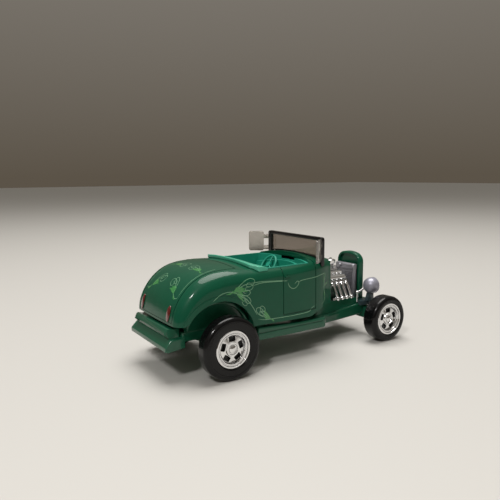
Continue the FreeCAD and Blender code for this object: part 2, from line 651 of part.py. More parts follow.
def make_windshield_frame():
    """Black frame: top bar, two posts that run down outside the cowl, thin crowned foot bar."""
    frame = screen_slab(SCREEN_HALF_W, SCREEN_FOOT_Z, SCREEN_TOP_Z, FRAME_T)
    corner = [e for e in frame.Edges if abs(abs(e.CenterOfMass.y) - SCREEN_HALF_W) < 0.01
              and abs(e.BoundBox.ZLength) < 0.01 and e.CenterOfMass.z > SCREEN_TOP_Z - 0.01]
    frame = frame.makeFillet(0.6, corner)
    frame = frame.cut(pane_prism(0))
    inside = SCREEN_HALF_W - POST_W
    below = screen_slab(inside, 0, PANE_LOW_Z + PANE_CROWN, 2).cut(pane_prism(0.35))
    frame = frame.cut(below)
    rear_keep = screen_slab(inside, PANE_LOW_Z - 2, PANE_LOW_Z + PANE_CROWN + 0.1, 2)
    rear_keep = rear_keep.cut(screen_slab(inside, 0, 30, 0.5))
    return frame.cut(rear_keep).cut(body_solid(0))


def make_windshield_pane():
    return pane_prism(0).common(screen_slab(SCREEN_HALF_W, 0, 30, PANE_T))


def make_wind_wing_right():
    """Clear smoked side wing on two tabs, swept back from the post."""
    tabs = []
    for z in (20.7, 23.4):
        tabs.append(box(0, WING_TAB + 0.2, -WING_T / 2, WING_T / 2, z - 0.5, z + 0.5))
    plate = box(WING_TAB, WING_TAB + WING_LEN, -WING_T / 2, WING_T / 2, WING_LOW_Z, WING_TOP_Z)
    rounded = [e for e in plate.Edges if abs(e.BoundBox.YLength - WING_T) < 0.01]
    plate = plate.makeFillet(0.45, rounded)
    wing = fused([plate] + tabs)
    wing.rotate(V(0, 0, 0), V(0, 0, 1), -90 - WING_SWEEP)
    wing.translate(V(SCREEN_X - 0.2, -SCREEN_HALF_W + 0.25, 0))
    return wing.cut(box(SCREEN_X - FRAME_T / 2, SCREEN_X + 2, -SCREEN_HALF_W, 0, 0, 30))


# ---------------------------------------------------------------- engine
def make_engine_block():
    """V block with sump and gearbox, one moulding."""
    floor = FRONT_RAIL_LOW_Z + 1.3
    outline = ((-1.7, floor), (1.7, floor), (1.7, 8.2), (2.5, 9.0), (2.7, 10.8), (3.9, 12.2), (3.4, 13.6),
               (2.5, 14.0), (1.2, 13.0), (-1.2, 13.0), (-2.5, 14.0), (-3.4, 13.6), (-3.9, 12.2),
               (-2.7, 10.8), (-2.5, 9.0), (-1.7, 8.2))
    block = end_prism(outline, ENGINE_REAR_X, ENGINE_FRONT_X - 1.0)
    gearbox = cylinder(V(BODY_FRONT_X, 0, 10.6), V(ENGINE_REAR_X + 0.5, 0, 10.6), 1.7)
    nose = cylinder(V(ENGINE_FRONT_X - 1.2, 0, 12.6), V(ENGINE_FRONT_X - 0.3, 0, 12.6), 0.9)
    damper = cylinder(V(ENGINE_FRONT_X - 1.2, 0, 9.9), V(ENGINE_FRONT_X - 0.2, 0, 9.9), 1.15)
    return fused([block, gearbox, nose, damper])


VALVE_COVER_Z = 14.1
VALVE_COVER_Y = 3.0
VALVE_COVER_R = 0.72


def make_valve_cover_right():
    """Ribbed rocker cover, round topped, along the right bank."""
    start = V(ENGINE_REAR_X + 1.2, -VALVE_COVER_Y, VALVE_COVER_Z)
    end = V(ENGINE_FRONT_X - 1.9, -VALVE_COVER_Y, VALVE_COVER_Z)
    cover = cylinder(start, end, VALVE_COVER_R)
    cover = fused([cover, Part.makeSphere(VALVE_COVER_R, start), Part.makeSphere(VALVE_COVER_R, end)])
    return cover.cut(make_engine_block())


def make_intake():
    """Finned intake box in the valley between the banks."""
    intake = box(ENGINE_REAR_X + 1.0, ENGINE_FRONT_X - 1.3, -2.1, 2.1, 13.0, 15.5)
    intake = intake.makeFillet(0.3, [e for e in intake.Edges if e.CenterOfMass.z > 14])
    for i in range(5):
        x = ENGINE_REAR_X + 2.0 + 1.1 * i
        for side in (-1, 1):
            intake = intake.cut(box(x, x + 0.35, side * 2.1 - 0.15, side * 2.1 + 0.15, 14.2, 15.1))
    rocker = make_valve_cover_right()
    return intake.cut(make_engine_block()).cut(rocker).cut(mirrored(rocker))


CARB_X = ENGINE_REAR_X + 5.3


def make_carburettor():
    body = cylinder(V(CARB_X, 0, 15.5), V(CARB_X, 0, 17.0), 0.8)
    flange = rounded_box(CARB_X - 1.2, CARB_X + 1.2, -1.2, 1.2, 15.5, 15.9, 0.12)
    bowls = [cylinder(V(CARB_X, y, 16.4), V(CARB_X, y * 2.2, 16.4), 0.4) for y in (-0.7, 0.7)]
    return fused([body, flange] + bowls)


def make_air_cleaner():
    can = cylinder(V(CARB_X, 0, 17.0), V(CARB_X, 0, 18.0), 1.15)
    can = can.makeFillet(0.3, can.Edges[0:1] + can.Edges[2:3])
    knob = cylinder(V(CARB_X, 0, 17.9), V(CARB_X, 0, 18.4), 0.28)
    return fused([can, knob])


def make_header_right():
    """Four exhaust tubes that sweep down and forward into one collector, right side."""
    pieces = []
    for i in range(4):
        x = PORT_FIRST_X + PORT_PITCH * i
        root = V(x, -PORT_Y, PORT_Z)
        elbow = V(x + 0.1, -PORT_Y - 0.7, PORT_Z)
        foot = V(x + HEADER_RAKE, -HEADER_END_Y, HEADER_END_Z)
        pieces.append(tube_path([root, elbow, foot], HEADER_R))
        pieces.append(Part.makeSphere(HEADER_R + 0.12, foot))
    first = PORT_FIRST_X + HEADER_RAKE
    last = first + 3 * PORT_PITCH
    pieces.append(cylinder(V(first - 2.4, -HEADER_END_Y, HEADER_END_Z),
                           V(last, -HEADER_END_Y, HEADER_END_Z), 0.36))
    return fused(pieces).cut(make_engine_block())


def make_cooling_fan():
    """Hub and six pitched blades on the water pump nose."""
    x0 = ENGINE_FRONT_X - 0.3
    hub = cylinder(V(x0, 0, 12.6), V(x0 + 0.45, 0, 12.6), 0.6)
    blades = []
    for i in range(6):
        blade = box(x0 + 0.1, x0 + 0.3, -0.45, 0.45, 12.6 + 0.3, 12.6 + 2.3)
        blade.rotate(V(x0 + 0.2, 0, 12.6), V(1, 0, 0), 60 * i)
        blades.append(blade)
    return fused([hub] + blades)


# ---------------------------------------------------------------- radiator and lamps
def shell_outline(inset):
    """Radiator shell seen from the front: straight sides, round shoulders, domed top, all tangent."""
    half = SHELL_HALF_W - inset
    top = SHELL_TOP_Z - inset
    r = SHELL_CORNER_R - inset
    dome = SHELL_DOME_R - inset
    dome_z = top - dome
    corner_z = dome_z + math.sqrt((dome - r) ** 2 - (half - r) ** 2)
    meet = math.atan2(corner_z - dome_z, half - r)
    middle = meet / 2

    def at(y, z):
        return V(SHELL_REAR_X - 1, y, z)
    meet_y = dome * math.cos(meet)
    meet_z = dome_z + dome * math.sin(meet)
    turn_y = half - r + r * math.cos(middle)
    turn_z = corner_z + r * math.sin(middle)
    return Part.Wire([
        Part.makeLine(at(-half, SHELL_LOW_Z), at(-half, corner_z)),
        Part.Arc(at(-half, corner_z), at(-turn_y, turn_z), at(-meet_y, meet_z)).toShape(),
        Part.Arc(at(-meet_y, meet_z), at(0, top), at(meet_y, meet_z)).toShape(),
        Part.Arc(at(meet_y, meet_z), at(turn_y, turn_z), at(half, corner_z)).toShape(),
        Part.makeLine(at(half, corner_z), at(half, SHELL_LOW_Z)),
        Part.makeLine(at(half, SHELL_LOW_Z), at(-half, SHELL_LOW_Z)),
    ])


def shell_prism(inset, x0, x1):
    face = Part.Face(shell_outline(inset))
    face.translate(V(x0 - SHELL_REAR_X + 1, 0, 0))
    return face.extrude(V(x1 - x0, 0, 0))


def make_radiator_shell():
    shell = shell_prism(0, SHELL_REAR_X, SHELL_FRONT_X)
    outer = [e for e in shell.Edges if abs(e.BoundBox.XLength) < 0.01
             and e.CenterOfMass.z > SHELL_LOW_Z + 0.05]
    shell = shell.makeFillet(0.4, outer)
    shell = shell.cut(shell_prism(SHELL_WALL, SHELL_REAR_X - 1, SHELL_FRONT_X - SHELL_WEB_INSET - SHELL_WEB_T))
    return shell.cut(shell_prism(SHELL_WALL, SHELL_FRONT_X - SHELL_WEB_INSET, SHELL_FRONT_X + 1))


def make_grille():
    """Upright grille bars in a thin surround, seated on the shell's web."""
    seat_x = SHELL_FRONT_X - SHELL_WEB_INSET
    face_x = seat_x + 0.35
    surround = shell_prism(SHELL_WALL, seat_x, face_x).cut(shell_prism(SHELL_WALL + 0.5, seat_x - 1, face_x + 1))
    bars = [box(seat_x, face_x - 0.08, y - 0.09, y + 0.09, SHELL_LOW_Z, SHELL_TOP_Z)
            for y in [0.42 * i for i in range(-8, 9)]]
    bars.append(box(seat_x, face_x - 0.08, -SHELL_HALF_W, SHELL_HALF_W, SHELL_LOW_Z, SHELL_LOW_Z + 0.45))
    inside = shell_prism(SHELL_WALL, seat_x, face_x)
    return fused([surround] + [bar.common(inside) for bar in bars])


def make_radiator_core():
    """Core with side straps, top tank and filler neck, behind the shell."""
    x0, x1 = CORE_REAR_X, SHELL_REAR_X + 0.2
    foot = SHELL_LOW_Z
    core = box(x0 + 0.2, x1, -CORE_HALF_W + 0.3, CORE_HALF_W - 0.3, foot, CORE_TOP_Z - 1.3)
    straps = [box(x0, x0 + 0.8, *sorted((s * (CORE_HALF_W - 0.5), s * CORE_HALF_W)), foot, CORE_TOP_Z - 1.0)
              for s in (-1, 1)]
    tank = rounded_box(x0 - 0.1, x1, -CORE_HALF_W, CORE_HALF_W, CORE_TOP_Z - 1.5, CORE_TOP_Z, 0.4)
    fins = [box(x0, x0 + 0.3, -CORE_HALF_W + 0.3, CORE_HALF_W - 0.3, z, z + 0.14)
            for z in [foot + 0.4 + 0.4 * i for i in range(16)]]
    hose = cylinder(V(x0 - 0.6, 1.4, CORE_TOP_Z - 0.7), V(x0 + 0.3, 1.4, CORE_TOP_Z - 0.7), 0.45)
    return fused([core, tank, hose] + straps + fins)


def make_headlight_right():
    """Round lamp bucket turned about its own axis, with a bezel and a seat for its lens."""
    def at(along, radius):
        return V(LAMP_X + along, -LAMP_Y, LAMP_Z + radius)
    seat_r = LAMP_R - 0.3
    half = math.sqrt(0.5) * LAMP_R
    wire = Part.Wire([
        Part.makeLine(at(0.5, 0), at(-LAMP_R, 0)),
        Part.Arc(at(-LAMP_R, 0), at(-half, half), at(0, LAMP_R)).toShape(),
        Part.makeLine(at(0, LAMP_R), at(0.8, LAMP_R)),
        Part.makeLine(at(0.8, LAMP_R), at(0.95, LAMP_R - 0.15)),
        Part.makeLine(at(0.95, LAMP_R - 0.15), at(0.95, seat_r)),
        Part.makeLine(at(0.95, seat_r), at(0.5, seat_r)),
        Part.makeLine(at(0.5, seat_r), at(0.5, 0)),
    ])
    return Part.Face(wire).revolve(V(LAMP_X, -LAMP_Y, LAMP_Z), V(1, 0, 0), 360)


def make_headlight_lens_right():
    """Domed clear lens seated in the bucket."""
    centre = V(LAMP_X + 0.5, -LAMP_Y, LAMP_Z)
    disc = cylinder(centre, centre + V(1, 0, 0), LAMP_R - 0.3)
    dome_r = 3.2
    apex = 0.72
    return disc.common(Part.makeSphere(dome_r, centre + V(apex - dome_r, 0, 0)))


def make_lamp_stand_right():
    """Lamp bracket from the front rail's end up to the bucket."""
    y0 = -LAMP_Y + 0.55
    outline = ((LAMP_X - 1.5, 8.35), (LAMP_X - 0.1, 7.4), (LAMP_X + 0.55, 8.8), (LAMP_X + 0.45, 11.0),
               (LAMP_X - 0.5, 11.0))
    stand = side_prism(outline, -LAMP_Y - 0.35, y0)
    arm = box(NOSE_X - 1.7, LAMP_X + 0.3, -LAMP_Y + 0.2, -FRONT_RAIL_OUT_Y + 1.4, 7.3, 8.35)
    shape = fused([stand, arm]).cut(make_headlight_right()).cut(front_rail())
    shape = shape.cut(nose_crossmember()).cut(front_beam_solid(0))
    return max(shape.Solids, key=lambda s: s.Volume)


def make_shock_right():
    """Lever damper: two bright balls on a short rod, standing on the front rail."""
    y = -FRONT_RAIL_OUT_Y + 0.55
    low = V(NOSE_X - 1.7, y, 10.2)
    high = V(NOSE_X + 0.05, y + 0.05, 10.75)
    stem = cylinder(V(low.x, low.y, 8.0), low, 0.25)
    rod = cylinder(low, high, 0.2)
    shape = fused([Part.makeSphere(0.46, low), Part.makeSphere(0.34, high), stem, rod])
    shape = shape.cut(front_rail()).cut(make_lamp_stand_right())
    return max(shape.Solids, key=lambda s: s.Volume)


def make_tail_lamp_right():
    """Upright oval lens that follows the tail's skin."""
    face_curve = Part.Ellipse(V(0, 0, 0), TAIL_LAMP_H / 2, TAIL_LAMP_W / 2).toShape()
    face = Part.Face(Part.Wire([face_curve]))
    face.rotate(V(0, 0, 0), V(0, 1, 0), -90)
    face.translate(V(TAIL_BEHIND_X, -TAIL_LAMP_Y, TAIL_LAMP_Z))
    prism = face.extrude(V(4.5, 0, 0))
    return prism.common(body_solid(-TAIL_LAMP_PROUD)).cut(body_solid(0))


def make_door_handle_right():
    """Short grip that follows the door skin."""
    x, z = DOOR_REAR_X + 0.6, 17.75
    bar = fused([cross_cylinder(x, z, 0.22, -14, -9), cross_cylinder(x + 0.7, z, 0.16, -14, -9),
                 box(x, x + 0.7, -14, -9, z - 0.15, z + 0.15)])
    return bar.common(body_solid(-0.3)).cut(body_solid(0))


# ---------------------------------------------------------------- wheels
def revolved(profile, x, z):
    """Solid of revolution about the axle through (x, z), from (y, radius) points."""
    points = [V(x, y, z + r) for y, r in profile]
    return polygon_face(points).revolve(V(x, 0, z), V(0, 1, 0), 360)


def make_tyre(x, radius, width, out_y):
    """Right-hand tyre: flat tread, round shoulders, a raised ring on its side wall."""
    inner = -out_y + width
    profile = (
        (-out_y + 0.42, RIM_R), (-out_y + 0.22, RIM_R + 0.08), (-out_y, RIM_R + 0.75),
        (-out_y, radius - 1.0), (-out_y + 0.3, radius - 0.36), (-out_y + 0.85, radius),
        (inner - 0.85, radius), (inner - 0.3, radius - 0.36), (inner, radius - 1.0), (inner, RIM_R + 0.5),
        (inner - 0.25, RIM_R),
    )
    tyre = revolved(profile, x, radius)
    return tyre


def make_rim(x, radius, width, out_y):
    """Right-hand five-slot wheel: rolled lip, stepped dish, slotted disc, raised hub and cap."""
    y = -out_y
    inner = y + width - 0.25
    profile = (
        (y + 0.42, RIM_R), (y + 0.2, RIM_R - 0.12), (y + 0.2, RIM_R - 0.42), (y + 0.75, RIM_R - 0.62),
        (y + 0.9, RIM_R - 0.85), (y + 0.62, RIM_R - 1.1), (y + 0.62, HUB_R), (y + 0.35, HUB_R - 0.2),
        (y + 0.35, CAP_R + 0.12), (y + 0.6, CAP_R + 0.02), (y + 0.6, AXLE_R), (inner - 0.3, AXLE_R),
        (inner - 0.3, HUB_R - 0.25), (y + 1.3, HUB_R + 0.05), (y + 1.3, RIM_R - 0.6),
        (inner, RIM_R - 0.35), (inner, RIM_R),
    )
    rim = revolved(profile, x, radius)
    plug = cross_cylinder(x, radius, AXLE_R, y, y + AXLE_SHORT)
    rim = rim.fuse(Part.makeSphere(CAP_R, V(x, y + 0.75, radius)).common(plug))
    slot_z = radius + SLOT_R
    through = y + 1.6
    for i in range(SLOT_PLACES):
        slot = fused([
            cylinder(V(x - SLOT_HALF_L, y, slot_z), V(x - SLOT_HALF_L, through, slot_z), SLOT_HALF_H),
            cylinder(V(x + SLOT_HALF_L, y, slot_z), V(x + SLOT_HALF_L, through, slot_z), SLOT_HALF_H),
            box(x - SLOT_HALF_L, x + SLOT_HALF_L, y, through, slot_z - SLOT_HALF_H, slot_z + SLOT_HALF_H),
        ])
        slot.rotate(V(x, 0, radius), V(0, 1, 0), 360 / SLOT_PLACES * i)
        rim = rim.cut(slot)
    return rim.removeSplitter()


def make_axle(x, radius, out_y):
    """Steel axle pressed into both rims, ends short of the caps."""
    end = out_y - AXLE_SHORT
    return cross_cylinder(x, radius, AXLE_R, -end, end)


# ---------------------------------------------------------------- assembly
def wheelset(name, x, radius, width, out_y):
    tyre = make_tyre(x, radius, width, out_y)
    rim = make_rim(x, radius, width, out_y)
    return {
        name + "_axle": make_axle(x, radius, out_y),
        name + "_rim_right": rim,
        name + "_rim_left": mirrored(rim),
        name + "_tyre_right": tyre,
        name + "_tyre_left": mirrored(tyre),
    }


def pair(name, shape):
    return {name + "_right": shape, name + "_left": mirrored(shape)}


def make_nodes():
    nodes = {
        "body_shell": make_body_shell(),
        "chassis": make_chassis(),
        "base_rivets": make_base_rivets(),
        "front_beam": make_front_beam(),
        "interior_tub": make_interior_tub(),
        "bench_seat": make_bench_seat(),
        "dashboard": make_dashboard(),
        "steering_column": make_steering_column(),
        "steering_wheel": make_steering_wheel(),
        "tonneau_roll": make_tonneau_roll(),
        "windshield_frame": make_windshield_frame(),
        "windshield_pane": make_windshield_pane(),
        "engine_block": make_engine_block(),
        "intake": make_intake(),
        "carburettor": make_carburettor(),
        "air_cleaner": make_air_cleaner(),
        "cooling_fan": make_cooling_fan(),
        "radiator_core": make_radiator_core(),
        "radiator_shell": make_radiator_shell(),
        "grille": make_grille(),
    }
    nodes.update(pair("wind_wing", make_wind_wing_right()))
    nodes.update(pair("valve_cover", make_valve_cover_right()))
    nodes.update(pair("header", make_header_right()))
    nodes.update(pair("headlight", make_headlight_right()))
    nodes.update(pair("headlight_lens", make_headlight_lens_right()))
    nodes.update(pair("lamp_stand", make_lamp_stand_right()))
    nodes.update(pair("shock", make_shock_right()))
    nodes.update(pair("tail_lamp", make_tail_lamp_right()))
    nodes.update(pair("door_handle", make_door_handle_right()))
    nodes.update(wheelset("front", FRONT_AXLE_X, FRONT_TYRE_R, FRONT_TYRE_W, FRONT_TRACK_OUT))
    nodes.update(wheelset("rear", REAR_AXLE_X, REAR_TYRE_R, REAR_TYRE_W, REAR_TRACK_OUT))
    return nodes


def main():
    os.makedirs("parts", exist_ok=True)
    for name, shape in make_nodes().items():
        shape.translate(V(FRAME_SHIFT, 0, 0))
        box_ = shape.BoundBox
        print("%-20s valid %s solids %d volume %.2f  x %.2f..%.2f y %.2f..%.2f z %.2f..%.2f" % (
            name, shape.isValid(), len(shape.Solids), shape.Volume,
            box_.XMin, box_.XMax, box_.YMin, box_.YMax, box_.ZMin, box_.ZMax))
        shape.exportStep("parts/" + name + ".step")


main()
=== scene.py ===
# %% [markdown]
# # A 1:64 diecast hot-rod roadster
# The real toy has a painted metal body on a painted metal chassis, a teal plastic cockpit,
# a bright plated engine, a smoked windshield and two wheelsets that roll.
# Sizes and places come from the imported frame, and this lesson only adds shape detail and finishes.
# Everything in Blender is in metres, so one named millimetre keeps toy-sized numbers readable.
# %% Load the frame
import json
import math
import bmesh
import bpy
from mathutils import Matrix, Vector
from mathutils.bvhtree import BVHTree


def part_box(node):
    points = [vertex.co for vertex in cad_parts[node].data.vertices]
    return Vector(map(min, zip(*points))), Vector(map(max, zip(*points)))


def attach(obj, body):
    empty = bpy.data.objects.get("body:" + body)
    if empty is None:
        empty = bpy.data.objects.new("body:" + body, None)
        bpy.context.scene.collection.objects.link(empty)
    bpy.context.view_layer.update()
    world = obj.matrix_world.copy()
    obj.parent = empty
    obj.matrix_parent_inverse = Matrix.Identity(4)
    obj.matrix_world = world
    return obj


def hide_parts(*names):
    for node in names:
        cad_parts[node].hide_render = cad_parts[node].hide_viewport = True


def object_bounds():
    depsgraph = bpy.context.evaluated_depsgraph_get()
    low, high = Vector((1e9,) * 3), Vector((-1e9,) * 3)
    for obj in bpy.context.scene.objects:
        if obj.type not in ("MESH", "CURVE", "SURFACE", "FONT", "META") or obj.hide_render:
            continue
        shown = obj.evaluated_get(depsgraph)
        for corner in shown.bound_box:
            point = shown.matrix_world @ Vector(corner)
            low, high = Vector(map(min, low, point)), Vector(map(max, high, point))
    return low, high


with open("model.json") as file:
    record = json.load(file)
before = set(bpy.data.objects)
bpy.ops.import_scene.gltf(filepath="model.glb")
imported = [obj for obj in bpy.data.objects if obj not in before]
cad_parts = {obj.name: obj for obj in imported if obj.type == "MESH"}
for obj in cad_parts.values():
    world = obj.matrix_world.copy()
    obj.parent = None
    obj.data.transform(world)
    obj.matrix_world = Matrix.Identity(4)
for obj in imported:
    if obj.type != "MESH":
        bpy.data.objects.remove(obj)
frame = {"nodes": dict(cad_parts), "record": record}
cad_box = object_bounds()
nodes = frame["nodes"]
MM = 0.001
print("frame holds", len(nodes), "nodes,", round((cad_box[1].x - cad_box[0].x) / MM, 1), "mm long")

# %% [markdown]
# ## Small tools for finishes
# A finish is a shader node tree. Many finishes share an effect, such as the faint ripple of
# sprayed lacquer, so each effect is a node group: one small tree with named inputs and outputs
# that is built once and then placed in every material with its own values.
# The shader itself stays in the material, where the export can read it.
# %% Tools for node groups
def new_group(name, inputs, outputs):
    """An empty shader group; inputs are (label, kind, default), outputs (label, kind)."""
    group = bpy.data.node_groups.new(name, "ShaderNodeTree")
    for label, kind, default in inputs:
        socket = group.interface.new_socket(label, in_out="INPUT", socket_type="NodeSocket" + kind)
        socket.default_value = default
    for label, kind in outputs:
        group.interface.new_socket(label, in_out="OUTPUT", socket_type="NodeSocket" + kind)
    return group


def add_node(tree, kind, **settings):
    """One node in a tree; settings with a capital letter or a space are socket values."""
    node = tree.nodes.new("ShaderNode" + kind if not kind.startswith("Node") else kind)
    for key, value in settings.items():
        label = key.replace("_", " ")
        if label in node.inputs:
            node.inputs[label].default_value = value
        else:
            setattr(node, key, value)
    return node


def noise(tree, scale, detail=2.0):
    """Noise in the object's own millimetres, so a grain keeps its real size on every piece."""
    place = add_node(tree, "TexCoord")
    shrink = add_node(tree, "VectorMath", operation="SCALE")
    shrink.inputs["Scale"].default_value = 1 / MM
    tree.links.new(place.outputs["Object"], shrink.inputs[0])
    texture = add_node(tree, "TexNoise", Detail=detail)
    tree.links.new(shrink.outputs[0], texture.inputs["Vector"])
    if isinstance(scale, bpy.types.NodeSocket):
        tree.links.new(scale, texture.inputs["Scale"])
    else:
        texture.inputs["Scale"].default_value = scale
    return texture.outputs["Fac"]


print("tools for node groups: new_group, add_node, noise")

# %% [markdown]
# ## Five shared surface effects
# * *ripple* gives the slow waves of lacquer or the fine grain of a mould as a height.
# * *handling film* lets fingers and dust dull the gloss here and there.
# * *pigment drift* mixes two close colours, because no sprayed coat is one even colour.
# * *recess shade* paints shade into grooves and inner corners, darker where less light reaches them.
# * *high edges* lightens outer corners: partly edge wear and thin paint, partly a painted edge highlight.
# %% Build the effect groups
def make_ripple():
    group = new_group("ripple", [("Scale", "Float", 1.0), ("Depth", "Float", 1.0)], [("Height", "Float")])
    start, end = add_node(group, "NodeGroupInput"), add_node(group, "NodeGroupOutput")
    times = add_node(group, "Math", operation="MULTIPLY")
    group.links.new(noise(group, start.outputs["Scale"], 3.0), times.inputs[0])
    group.links.new(start.outputs["Depth"], times.inputs[1])
    group.links.new(times.outputs[0], end.inputs["Height"])
    return group


def make_handling_film():
    inputs = [("Clean", "Float", 0.1), ("Dull", "Float", 0.3), ("Scale", "Float", 0.3)]
    group = new_group("handling film", inputs, [("Roughness", "Float")])
    start, end = add_node(group, "NodeGroupInput"), add_node(group, "NodeGroupOutput")
    spread = add_node(group, "MapRange")
    group.links.new(noise(group, start.outputs["Scale"], 5.0), spread.inputs["Value"])
    spread.inputs["From Min"].default_value = 0.35
    spread.inputs["From Max"].default_value = 0.75
    group.links.new(start.outputs["Clean"], spread.inputs["To Min"])
    group.links.new(start.outputs["Dull"], spread.inputs["To Max"])
    group.links.new(spread.outputs["Result"], end.inputs["Roughness"])
    return group


def make_pigment_drift():
    inputs = [("Deep", "Color", (0, 0, 0, 1)), ("Light", "Color", (1, 1, 1, 1)), ("Scale", "Float", 0.3)]
    group = new_group("pigment drift", inputs, [("Color", "Color")])
    start, end = add_node(group, "NodeGroupInput"), add_node(group, "NodeGroupOutput")
    mix = add_node(group, "Mix", data_type="RGBA")
    group.links.new(noise(group, start.outputs["Scale"], 4.0), mix.inputs["Factor"])
    group.links.new(start.outputs["Deep"], mix.inputs["A"])
    group.links.new(start.outputs["Light"], mix.inputs["B"])
    group.links.new(mix.outputs["Result"], end.inputs["Color"])
    return group


def make_corner_finder(name, label, inside):
    """Ambient occlusion finds recesses for painted shade and outer corners for wear and painted highlight.
    """
    inputs = [("Color", "Color", (1, 1, 1, 1)), (label, "Color", (0, 0, 0, 1)), ("Amount", "Float", 0.5)]
    group = new_group(name, inputs, [("Color", "Color")])
    start, end = add_node(group, "NodeGroupInput"), add_node(group, "NodeGroupOutput")
    reach = add_node(group, "AmbientOcclusion", samples=8, inside=inside)
    reach.inputs["Distance"].default_value = 0.5 * MM if not inside else 0.12 * MM
    hidden = add_node(group, "MapRange")
    group.links.new(reach.outputs["AO"], hidden.inputs["Value"])
    hidden.inputs["From Min"].default_value = 0.75 if not inside else 0.2
    hidden.inputs["From Max"].default_value = 0.3 if not inside else 0.7
    times = add_node(group, "Math", operation="MULTIPLY")
    group.links.new(hidden.outputs["Result"], times.inputs[0])
    group.links.new(start.outputs["Amount"], times.inputs[1])
    mix = add_node(group, "Mix", data_type="RGBA")
    group.links.new(times.outputs[0], mix.inputs["Factor"])
    group.links.new(start.outputs["Color"], mix.inputs["A"])
    group.links.new(start.outputs[label], mix.inputs["B"])
    group.links.new(mix.outputs["Result"], end.inputs["Color"])
    return group


RIPPLE = make_ripple()
HANDLING_FILM = make_handling_film()
PIGMENT_DRIFT = make_pigment_drift()
# Painted shade: ambient occlusion darkens grooves and inner corners.
RECESS_SHADE = make_corner_finder("recess shade", "Shade", inside=False)
# Lighter outer corners: edge wear and thin paint, plus a painted edge highlight.
HIGH_EDGES = make_corner_finder("high edges", "Bare", inside=True)
print("effect groups:", [group.name for group in bpy.data.node_groups])

# %% [markdown]
# ## A finish from the five effects
# Each finish of the toy is the same short chain with other values: two pigments drift into each
# other, painted shade darkens recesses, high edges are lightened by wear and a painted highlight,
# film dulls the gloss and a ripple bends the light.
# Colours are given as a paint mixer sees them on a screen, from 0 to 255, and turned into light values.
# %% One recipe for all finishes
def tint(red, green, blue):
    """A screen colour as linear light."""
    values = []
    for part in (red, green, blue):
        share = part / 255
        values.append(share / 12.92 if share <= 0.04045 else ((share + 0.055) / 1.055) ** 2.4)
    return (*values, 1.0)


def place_group(tree, group, **values):
    node = tree.nodes.new("ShaderNodeGroup")
    node.node_tree = group
    for label, value in values.items():
        node.inputs[label].default_value = value
    return node


def finish(name, deep, light, gloss=(0.1, 0.25), ripple=(1.0, 0.01), edges=(None, 0.0), shade=0.6, film=0.35,
           **shader):
    """A procedural material; shader values that are even all over go straight on the Principled."""
    material = bpy.data.materials.new(name)
    material.use_nodes = True
    tree = material.node_tree
    principled = tree.nodes["Principled BSDF"]
    for label, value in shader.items():
        principled.inputs[label.replace("_", " ")].default_value = value
    drift = place_group(tree, PIGMENT_DRIFT, Deep=deep, Light=light, Scale=0.25)
    # Painted shade: recesses are darkened towards a quarter of the deep colour.
    recess = place_group(tree, RECESS_SHADE, Shade=tuple(0.25 * c for c in deep[:3]) + (1,), Amount=shade)
    tree.links.new(drift.outputs["Color"], recess.inputs["Color"])
    colour = recess.outputs["Color"]
    # Outer corners are lightened: partly edge wear, partly a painted edge highlight.
    if edges[1]:
        rim = place_group(tree, HIGH_EDGES, Bare=edges[0], Amount=edges[1])
        tree.links.new(colour, rim.inputs["Color"])
        colour = rim.outputs["Color"]
    tree.links.new(colour, principled.inputs["Base Color"])
    dull = place_group(tree, HANDLING_FILM, Clean=gloss[0], Dull=gloss[1], Scale=film)
    tree.links.new(dull.outputs["Roughness"], principled.inputs["Roughness"])
    wave = place_group(tree, RIPPLE, Scale=ripple[0], Depth=1.0)
    bump = add_node(tree, "Bump", Strength=1.0)
    bump.inputs["Distance"].default_value = ripple[1] * MM
    tree.links.new(wave.outputs["Height"], bump.inputs["Height"])
    tree.links.new(bump.outputs["Normal"], principled.inputs["Normal"])
    return material


print("one recipe: finish(name, deep, light, gloss, ripple, edges, shade, film)")

# %% [markdown]
# ## The finishes of this car
# The body is deep green gloss lacquer, so it has a clear coat over a darker base. The chassis is
# the same green with less polish. The cockpit is teal plastic with a fine mould grain. Vacuum plating
# is a very smooth metal with a little cloudiness. The smoked panes pass light through a brown-grey tint.
# %% Mix the finishes
GREEN_LACQUER = finish("green_lacquer", tint(0, 62, 42), tint(1, 76, 52), gloss=(0.34, 0.44),
                       ripple=(0.5, 0.006),
                       edges=(tint(30, 110, 80), 0.12), Specular_IOR_Level=0.12, Coat_Weight=0.55,
                       Coat_IOR=1.38, Coat_Roughness=0.03)
GREEN_CHASSIS = finish("green_chassis", tint(0, 56, 38), tint(3, 72, 48), gloss=(0.3, 0.42),
                       ripple=(1.4, 0.015),
                       edges=(tint(50, 124, 94), 0.2), Specular_IOR_Level=0.2, Coat_Weight=0.6,
                       Coat_Roughness=0.08)
TEAL_MOULDING = finish("teal_moulding", tint(18, 128, 106), tint(34, 156, 130), gloss=(0.38, 0.55),
                       ripple=(6.0, 0.01), shade=0.75)
